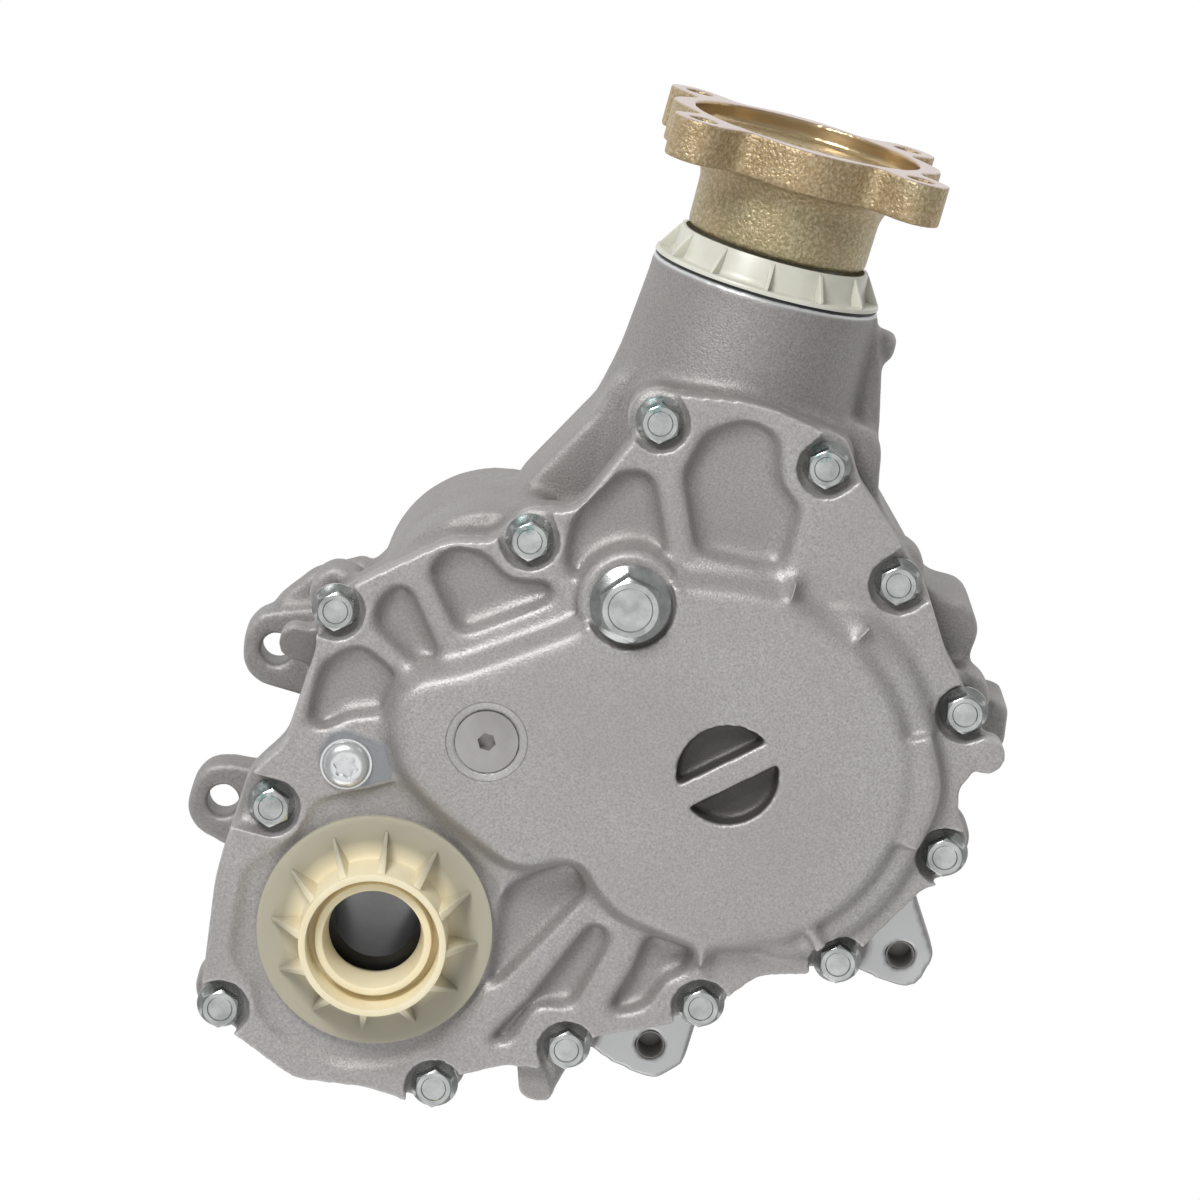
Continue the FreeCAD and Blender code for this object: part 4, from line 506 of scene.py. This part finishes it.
# a cast skin: the node remeshed finely, then relaxed by zones, with its cut edges left alone
def castSkin(nodeName, name, settings):
    work = weldedCopy(nodeName)
    cutEdges = cutEdgePoints(work, settings["isCut"])
    mesh = bpy.data.meshes.new(name)
    work.to_mesh(mesh)
    work.free()
    skin = newObject(name, mesh)
    remesh = skin.modifiers.new("voxels", "REMESH")
    remesh.mode = "VOXEL"
    remesh.voxel_size = settings["voxel"]
    settle(skin)
    work = bmesh.new()
    work.from_mesh(skin.data)

    work.normal_update()
    free = [vert for vert in work.verts if (cutEdges.find(vert.co)[2] or 1.0) > settings["keepAway"]]
    for isSoft, rounds in settings["relax"]:
        verts = [vert for vert in free if isSoft(vert)] if isSoft else work.verts
        for step in range(rounds):
            bmesh.ops.smooth_vert(work, verts=verts, factor=0.5, use_axis_x=True, use_axis_y=True,
                                  use_axis_z=True)
    work.to_mesh(skin.data)
    work.free()
    triangles = 2 * len(skin.data.polygons)
    if triangles > settings["most"]:
        thin = skin.modifiers.new("thin", "DECIMATE")
        thin.ratio = settings["most"] / triangles
        settle(skin)
    for polygon in skin.data.polygons:
        polygon.use_smooth = True
    skin.data.materials.clear()
    skin.data.materials.append(nodeFinish[nodeName])
    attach(skin, settings["body"])
    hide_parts(nodeName)
    print(name + ":", len(skin.data.polygons), "faces")
    return skin


def flatDistance(point, axis):
    return math.hypot(point.x - axis.x, point.y - axis.y)


# what stays crisp on the cover: distances from each axis, and the plain right side of the dome
coverZones = {
    "start": 0.1062, "ring": 0.0205, "idler": 0.0155, "input": 0.0435, "hollowInput": 0.0450, "plug": 0.0170,
    "check": 0.0165, "plainLeft": 0.066, "plainLow": 0.040, "plainHigh": 0.150, "seatEdge": 0.1096,
    "jointEdge": 0.107,
}


def softOnCover(vert):
    point = vert.co
    return (point.z > coverZones["start"] and flatDistance(point, ringAxis) > coverZones["ring"]
            and flatDistance(point, idlerAxis) > coverZones["idler"]
            and flatDistance(point, inputAxis) > coverZones["input"])


# pocket walls and floors and the dome's long ramps, without the level tops of the ribs
def hollowOnCover(vert):
    point = vert.co
    ribTop = abs(point.z - padHeight) < 0.0004 and vert.normal.z > 0.95
    plain = point.x > coverZones["plainLeft"] and coverZones["plainLow"] < point.y < coverZones["plainHigh"]
    return (softOnCover(vert) and not ribTop and not plain and flatDistance(point, plugAxis) > coverZones["plug"]
            and flatDistance(point, checkAxis) > coverZones["check"]
            and flatDistance(point, inputAxis) > coverZones["hollowInput"])


housingZones = {"neck": 0.259, "lugLeft": 0.086, "lugUpper": 0.066, "lugs": (0.072, 0.092), "cast": (-0.001, 0.1035)}


def softOnHousing(vert):
    point = vert.co
    lugLow, lugHigh = housingZones["lugs"]
    castLow, castHigh = housingZones["cast"]
    nearNeck = point.y > housingZones["neck"]
    nearLugs = (point.x > housingZones["lugLeft"] and point.y < housingZones["lugUpper"]
                and lugLow < point.z < lugHigh)
    return not nearNeck and not nearLugs and castLow < point.z < castHigh


castSkin("front_cover", "coverCasting", {
    "voxel": 1.0 * mm, "keepAway": 2.2 * mm, "most": 195000, "body": "housing",
    "isCut": lambda point: point.z > coverZones["seatEdge"] or point.z < coverZones["jointEdge"],
    "relax": ((hollowOnCover, 45), (softOnCover, 12), (None, 2))})
castSkin("main_housing", "housingCasting", {
    "voxel": 1.5 * mm, "keepAway": 0.0, "most": 195000, "body": "housing",
    "isCut": lambda point: False, "relax": ((softOnHousing, 6), (None, 2))})
castSkin("output_flange", "flangeCasting", {
    "voxel": 0.8 * mm, "keepAway": 0.0, "most": 150000, "body": "pinion_line",
    "isCut": lambda point: False, "relax": ((lambda vert: vert.co.y < 0.3175, 5), (None, 1))})


# a circle extruded ring by ring: radius and height may change with the angle about the spot
def ringMesh(rings, spots, turns):
    work = bmesh.new()
    for spot in spots:
        verts = bmesh.ops.create_circle(work, cap_ends=True, segments=turns, radius=1.0,
                                        matrix=Matrix.Translation(spot))["verts"]
        edges = list({edge for vert in verts for edge in vert.link_edges})
        for index, (radiusAt, heightAt) in enumerate(rings):
            if index:
                grown = bmesh.ops.extrude_edge_only(work, edges=edges)["geom"]
                verts = [item for item in grown if isinstance(item, bmesh.types.BMVert)]
                edges = [item for item in grown if isinstance(item, bmesh.types.BMEdge) and item.is_boundary]
            for vert in verts:
                angle = math.atan2(vert.co.y - spot.y, vert.co.x - spot.x)
                along = Vector((math.cos(angle), math.sin(angle), 0.0))
                vert.co = spot + along * radiusAt(angle) + Vector((0, 0, heightAt(angle)))
        bmesh.ops.edgeloop_fill(work, edges=edges)
    bmesh.ops.recalc_face_normals(work, faces=work.faces)
    return work


def finishPiece(work, name, body, nodeName, material, sharpAngle):
    cut = math.radians(sharpAngle)
    for face in work.faces:
        face.smooth = True
    for edge in work.edges:
        edge.smooth = len(edge.link_faces) == 2 and edge.calc_face_angle(0.0) < cut
    mesh = bpy.data.meshes.new(name)
    work.to_mesh(mesh)
    work.free()
    piece = newObject(name, mesh)
    piece.data.materials.append(material)
    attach(piece, body)
    if nodeName:
        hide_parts(nodeName)
    print(name + ":", len(mesh.polygons), "faces")
    return piece


def fixed(value):
    return lambda angle: value


def islandSpots(nodeName, height):
    work = weldedCopy(nodeName)
    left = set(work.verts)
    spots = []
    while left:
        group = {left.pop()}
        edge = set(group)
        while edge:
            edge = {other for vert in edge for link in vert.link_edges for other in link.verts} & left
            left -= edge
            group |= edge
        xs = [vert.co.x for vert in group]
        ys = [vert.co.y for vert in group]
        spots.append(Vector(((min(xs) + max(xs)) / 2, (min(ys) + max(ys)) / 2, height)))
    work.free()
    return spots


# hexagon head with washer flange, 30-degree chamfer and a shallow dish
def hexHead(settings):
    flats = settings["flats"] / 2
    top = settings["top"]
    round_ = flats * 0.965

    def hexRadius(angle):
        turn = (angle + settings["turn"]) % (math.pi / 3) - math.pi / 6
        return flats / math.cos(turn)

    def chamfer(angle):
        return top - (hexRadius(angle) - round_) * math.tan(math.radians(30))

    flange = settings["flange"]
    thick = settings["flangeHeight"]
    return [
        (fixed(settings["shank"] - 0.0006), fixed(-settings["length"])),
        (fixed(settings["shank"]), fixed(-settings["length"] + 0.0006)),
        (fixed(settings["shank"]), fixed(0.0)),
        (fixed(flange - 0.0003), fixed(0.0)),
        (fixed(flange), fixed(0.0003)),
        (fixed(flange), fixed(thick - 0.0005)),
        (fixed(flange - 0.0006), fixed(thick)),
        (lambda angle: hexRadius(angle) + 0.0005, fixed(thick + settings["coneRise"])),
        (hexRadius, fixed(thick + settings["coneRise"] + 0.0005)),
        (hexRadius, chamfer),
        (fixed(round_), fixed(top)),
        (fixed(settings["dish"]), fixed(top - 0.0001)),
        (fixed(settings["dish"] - 0.0004), fixed(top - 0.0006)),
        (fixed(settings["dish"] * 0.5), fixed(top - 0.0006)),
    ]


boltHead = {
    "flats": 12.95 * mm, "top": 8.15 * mm, "flange": 8.98 * mm, "flangeHeight": 1.7 * mm, "coneRise": 0.9 * mm,
    "shank": 3.98 * mm, "length": 25.95 * mm, "dish": 4.7 * mm, "turn": 0.35,
    "painted": ((64, 204), (119, 204), (-48, 35), (12, 148)), "paintReach": 11 * mm,
}
boltSpots = islandSpots("cover_bolts", seatHeight)
bolts = finishPiece(ringMesh(hexHead(boltHead), boltSpots, 72), "coverBolts", "housing", "cover_bolts",
                    metals["zinc"], 28)


# a few old dabs of teal paint that check marks left on the upper side of some heads
def paintDabs(piece, spots, reach):
    mark = piece.data.attributes.new("paintMark", "FLOAT", "POINT")
    for index, vert in enumerate(piece.data.vertices):
        value = 0.0
        for spot in spots:
            offset = vert.co - spot
            if offset.xy.length < reach and offset.z > 0.0002:
                lean = offset.xy.normalized().dot(Vector((-0.55, 0.83))) if offset.xy.length > 0.004 else 0.0
                ragged = noise.noise(vert.co * 400.0) * 0.25
                value = max(value, min(1.0, max(0.0, (lean + ragged - 0.80) * 8.0)))
        mark.data[index].value = value


paintedSpots = [min(boltSpots, key=lambda spot: (spot.xy - Vector(near) * mm).length)
                for near in boltHead["painted"]]
paintDabs(bolts, paintedSpots, boltHead["paintReach"])

plugLow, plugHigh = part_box("fill_plug")
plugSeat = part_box("fill_plug_washer")[1].z
plugHead = {
    "flats": 20.95 * mm, "top": plugHigh.z - plugSeat - 0.05 * mm, "flange": 14.78 * mm,
    "flangeHeight": 1.7 * mm, "coneRise": 1.1 * mm, "shank": 8.98 * mm, "length": plugSeat - plugLow.z - 0.05 * mm,
    "dish": 8.2 * mm, "turn": 0.2,
}
plugSpot = Vector((plugAxis.x, plugAxis.y, plugSeat))
finishPiece(ringMesh(hexHead(plugHead), [plugSpot], 96), "fillPlug", "housing", "fill_plug", metals["zinc"], 28)

# button head with a six-lobed socket
checkLow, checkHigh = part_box("check_screw")
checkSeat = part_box("check_screw_washer")[1].z
checkHead = {"radius": 8.68 * mm, "top": checkHigh.z - checkSeat - 0.05 * mm, "socket": 4.1 * mm,
             "lobe": 0.55 * mm, "depth": 2.4 * mm, "shank": 4.95 * mm}


def starRadius(angle):
    return checkHead["socket"] + checkHead["lobe"] * math.cos(6 * angle)


checkTop = checkHead["top"]
buttonRings = [
    (fixed(checkHead["shank"] - 0.0005), fixed(checkLow.z - checkSeat + 0.05 * mm)),
    (fixed(checkHead["shank"]), fixed(checkLow.z - checkSeat + 0.6 * mm)),
    (fixed(checkHead["shank"]), fixed(0.0)),
    (fixed(checkHead["radius"] - 0.0002), fixed(0.0)),
    (fixed(checkHead["radius"]), fixed(0.0003)),
    (fixed(checkHead["radius"]), fixed(0.0010)),
    (fixed(checkHead["radius"] - 0.0005), fixed(checkTop * 0.55)),
    (fixed(checkHead["radius"] - 0.0015), fixed(checkTop * 0.82)),
    (fixed(checkHead["radius"] - 0.0027), fixed(checkTop * 0.96)),
    (fixed(5.1 * mm), fixed(checkTop)),
    (starRadius, fixed(checkTop - 0.05 * mm)),
    (starRadius, fixed(checkTop - checkHead["depth"])),
    (fixed(1.6 * mm), fixed(checkTop - checkHead["depth"] - 0.0003)),
]
checkSpot = Vector((checkAxis.x, checkAxis.y, checkSeat))
finishPiece(ringMesh(buttonRings, [checkSpot], 96), "checkScrew", "housing", "check_screw", metals["bright"], 32)


# threads of the two bracket lugs: a cup with a ridged wall and a closed, dark end
lugThread = {"outer": 5.3 * mm, "crest": 4.5 * mm, "root": 5.05 * mm, "pitch": 1.5 * mm, "turns": 9}
threadMounts = [mount for mount in frame["record"]["mounts"] if mount["name"].startswith("bracket_thread")]
threadDepth = threadMounts[0]["dims"]["length_mm"] * mm
threadRings = [(fixed(lugThread["outer"]), fixed(-threadDepth)), (fixed(lugThread["outer"]), fixed(-0.3 * mm))]
for step in range(lugThread["turns"]):
    depth = -0.35 * mm - step * lugThread["pitch"]
    threadRings += [(fixed(lugThread["root"]), fixed(depth)),
                    (fixed(lugThread["crest"]), fixed(depth - lugThread["pitch"] / 2))]
threadSpots = [Vector(mount["pos_m"]) + Vector((0, 0, threadDepth / 2)) for mount in threadMounts]
finishPiece(ringMesh(threadRings, threadSpots, 48), "lugThreads", "housing", None, metals["shaftEnd"], 25)


# round moulded pieces: a closed profile of (radius, height) with softened corners, turned about an axis
def turnedWork(profile, turns, soften):
    work = bmesh.new()
    verts = [work.verts.new((radius, 0.0, height)) for radius, height in profile]
    loop = [work.edges.new((verts[index - 1], verts[index])) for index in range(len(verts))]
    bmesh.ops.spin(work, geom=verts + loop, cent=(0, 0, 0), axis=(0, 0, 1), angle=2 * math.pi, steps=turns,
                   use_merge=True)
    bmesh.ops.recalc_face_normals(work, faces=work.faces)
    if soften:
        rims = [edge for edge in work.edges if len(edge.link_faces) == 2
                and edge.calc_face_angle(0.0) > math.radians(32)]
        bmesh.ops.bevel(work, geom=rims, offset=soften, affect="EDGES", segments=2, profile=0.5, material=-1)
    return work


# thin wedge ribs about the axis: corners in (radius, height), thick at the root and thin at the tip
def addGussets(work, corners, settings):
    root = corners[0][0]
    reach = max(radius for radius, height in corners)
    for index in range(settings["count"]):
        angle = math.radians(settings["first"] + 360.0 * index / settings["count"])
        along = Vector((math.cos(angle), math.sin(angle), 0))
        across = Vector((-along.y, along.x, 0))
        near = [work.verts.new(along * radius + Vector((0, 0, height))) for radius, height in corners]
        side = work.faces.new(near)
        grown = bmesh.ops.extrude_face_region(work, geom=[side], use_keep_orig=True)["geom"]
        far = [item for item in grown if isinstance(item, bmesh.types.BMVert)]
        for verts, sign in ((near, -1), (far, 1)):
            for vert in verts:
                share = (vert.co.dot(along) - root) / (reach - root)
                half = (settings["rootWidth"] * (1 - share) + settings["tipWidth"] * share) / 2
                vert.co += across * (half * sign)
        faces = list({face for vert in near + far for face in vert.link_faces})
        bmesh.ops.recalc_face_normals(work, faces=faces)
        rims = {edge for face in faces for edge in face.edges}
        bmesh.ops.bevel(work, geom=list(rims), offset=settings["soften"], affect="EDGES", segments=2, profile=0.5,
                        material=-1)


protectorShape = {"count": 12, "first": 8.0, "rootWidth": 3.0 * mm, "tipWidth": 1.0 * mm, "soften": 0.25 * mm}
protectorProfile = [(radius * mm, height * mm) for radius, height in (
    (17.05, 116.5), (17.3, 119.5), (18.7, 129.5), (21.4, 129.5), (21.8, 121.5), (24.3, 121.5), (24.5, 137.15),
    (27.1, 137.15), (27.45, 117.2), (30.0, 116.5), (35.0, 116.75), (41.3, 117.95), (43.65, 117.95),
    (43.65, 114.86), (22.0, 114.86), (21.95, 104.05), (19.65, 104.05), (19.6, 113.6), (17.05, 113.6))]
protector = turnedWork(protectorProfile, 144, 0.35 * mm)
addGussets(protector, [(radius * mm, height * mm) for radius, height in (
    (26.6, 116.0), (26.6, 135.4), (27.6, 135.4), (38.3, 118.6), (38.3, 116.2))], protectorShape)
finishPiece(protector, "sealProtector", "protector", "seal_protector", plastics["protector"], 40)

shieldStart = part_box("dust_shield")[0].y
shieldShape = {"count": 12, "first": -3.0, "rootWidth": 1.5 * mm, "tipWidth": 1.2 * mm, "soften": 0.2 * mm}
shieldProfile = [(radius * mm, height * mm) for radius, height in (
    (25.1, 0.0), (42.95, 0.0), (42.6, 1.6), (37.6, 1.6), (36.6, 4.0), (35.8, 11.85), (34.3, 11.85), (35.4, 2.0),
    (27.1, 1.7), (27.0, 11.8), (25.1, 11.8))]
shield = turnedWork(shieldProfile, 144, 0.2 * mm)
addGussets(shield, [(radius * mm, height * mm) for radius, height in (
    (35.5, 1.0), (35.5, 11.2), (36.2, 11.2), (41.9, 2.4), (41.9, 1.0))], shieldShape)
pinionTurn = Matrix.Rotation(math.radians(-90), 4, "X")  # local +Z becomes +Y
bmesh.ops.transform(shield, matrix=Matrix.Translation((pinionAxis.x, shieldStart, pinionAxis.z)) @ pinionTurn,
                    verts=shield.verts)
finishPiece(shield, "dustShield", "pinion_line", "dust_shield", plastics["shield"], 40)


# floor and backdrop: white to the camera and in reflections, pale for the light
def stageMaterial():
    material, tree, shader = newMaterial("paleFloor")
    shader.inputs["Base Color"].default_value = (0.8, 0.8, 0.8, 1.0)
    shader.inputs["Roughness"].default_value = 0.9
    glow = tree.nodes.new("ShaderNodeEmission")
    path = tree.nodes.new("ShaderNodeLightPath")
    seen = mathNode(tree, "MAXIMUM", path.outputs["Is Camera Ray"], path.outputs["Is Glossy Ray"])
    seen = mathNode(tree, "MAXIMUM", seen, path.outputs["Is Transmission Ray"])
    mix = tree.nodes.new("ShaderNodeMixShader")
    tree.links.new(seen, mix.inputs[0])
    tree.links.new(shader.outputs[0], mix.inputs[1])
    tree.links.new(glow.outputs[0], mix.inputs[2])
    tree.links.new(mix.outputs[0], tree.nodes["Material Output"].inputs["Surface"])
    return material


floorWork = bmesh.new()
bmesh.ops.create_grid(floorWork, x_segments=1, y_segments=1, size=3.0)
bmesh.ops.translate(floorWork, verts=floorWork.verts, vec=(0.05, 0.14, cadBox[0][2] - 0.0005))
floorMesh = bpy.data.meshes.new("floor")
floorWork.to_mesh(floorMesh)
floorWork.free()
floor = newObject("floor", floorMesh)
floor.data.materials.append(stageMaterial())

world = bpy.data.worlds.new("studio")
scene.world = world
world.use_nodes = True
backdrop = world.node_tree.nodes["Background"]
backdrop.inputs["Color"].default_value = (1.0, 1.0, 1.0, 1.0)
backdrop.inputs["Strength"].default_value = 0.38

lampSettings = {
    "key": {"place": (-0.75, 1.15, 1.25), "size": 0.55, "power": 21.0},
    "fill": {"place": (0.25, -0.35, 1.75), "size": 1.3, "power": 3.6},
    "rim": {"place": (0.1, -1.2, 0.8), "size": 0.9, "power": 4.0},
}
aim = Vector((0.07, 0.12, 0.06))
for name, settings in lampSettings.items():
    lamp = bpy.data.lights.new(name, "AREA")
    lamp.size = settings["size"]
    lamp.energy = settings["power"]
    holder = bpy.data.objects.new(name, lamp)
    scene.collection.objects.link(holder)
    holder.location = settings["place"]
    holder.rotation_mode = "QUATERNION"
    holder.rotation_quaternion = (aim - holder.location).to_track_quat("-Z", "Y")

# camera at the photograph's angle: target and distance in metres, angles in degrees
photo = {"target": (0.046849, 0.142858, 0.117), "distance": 1.745459, "tilt": 13.0, "roll": 15.5, "view": 14.25}
tilt = math.radians(photo["tilt"])
roll = math.radians(photo["roll"])
acrossPhoto = Vector((math.cos(roll), math.sin(roll), 0.0))
upPhoto = Vector((-math.sin(roll), math.cos(roll), 0.0))
backward = upPhoto * math.sin(tilt) + Vector((0, 0, math.cos(tilt)))
camera = bpy.data.objects.new("camera", bpy.data.cameras.new("camera"))
scene.collection.objects.link(camera)
camera.data.sensor_width = 36.0
camera.data.lens = 18.0 / math.tan(math.radians(photo["view"] / 2))
turn = Matrix((acrossPhoto, backward.cross(acrossPhoto), backward)).transposed()
camera.matrix_world = turn.to_4x4()
camera.location = Vector(photo["target"]) + backward * photo["distance"]
camera.data.clip_end = 50.0
scene.camera = camera
scene.view_settings.view_transform = "Standard"
print("camera and light ready")
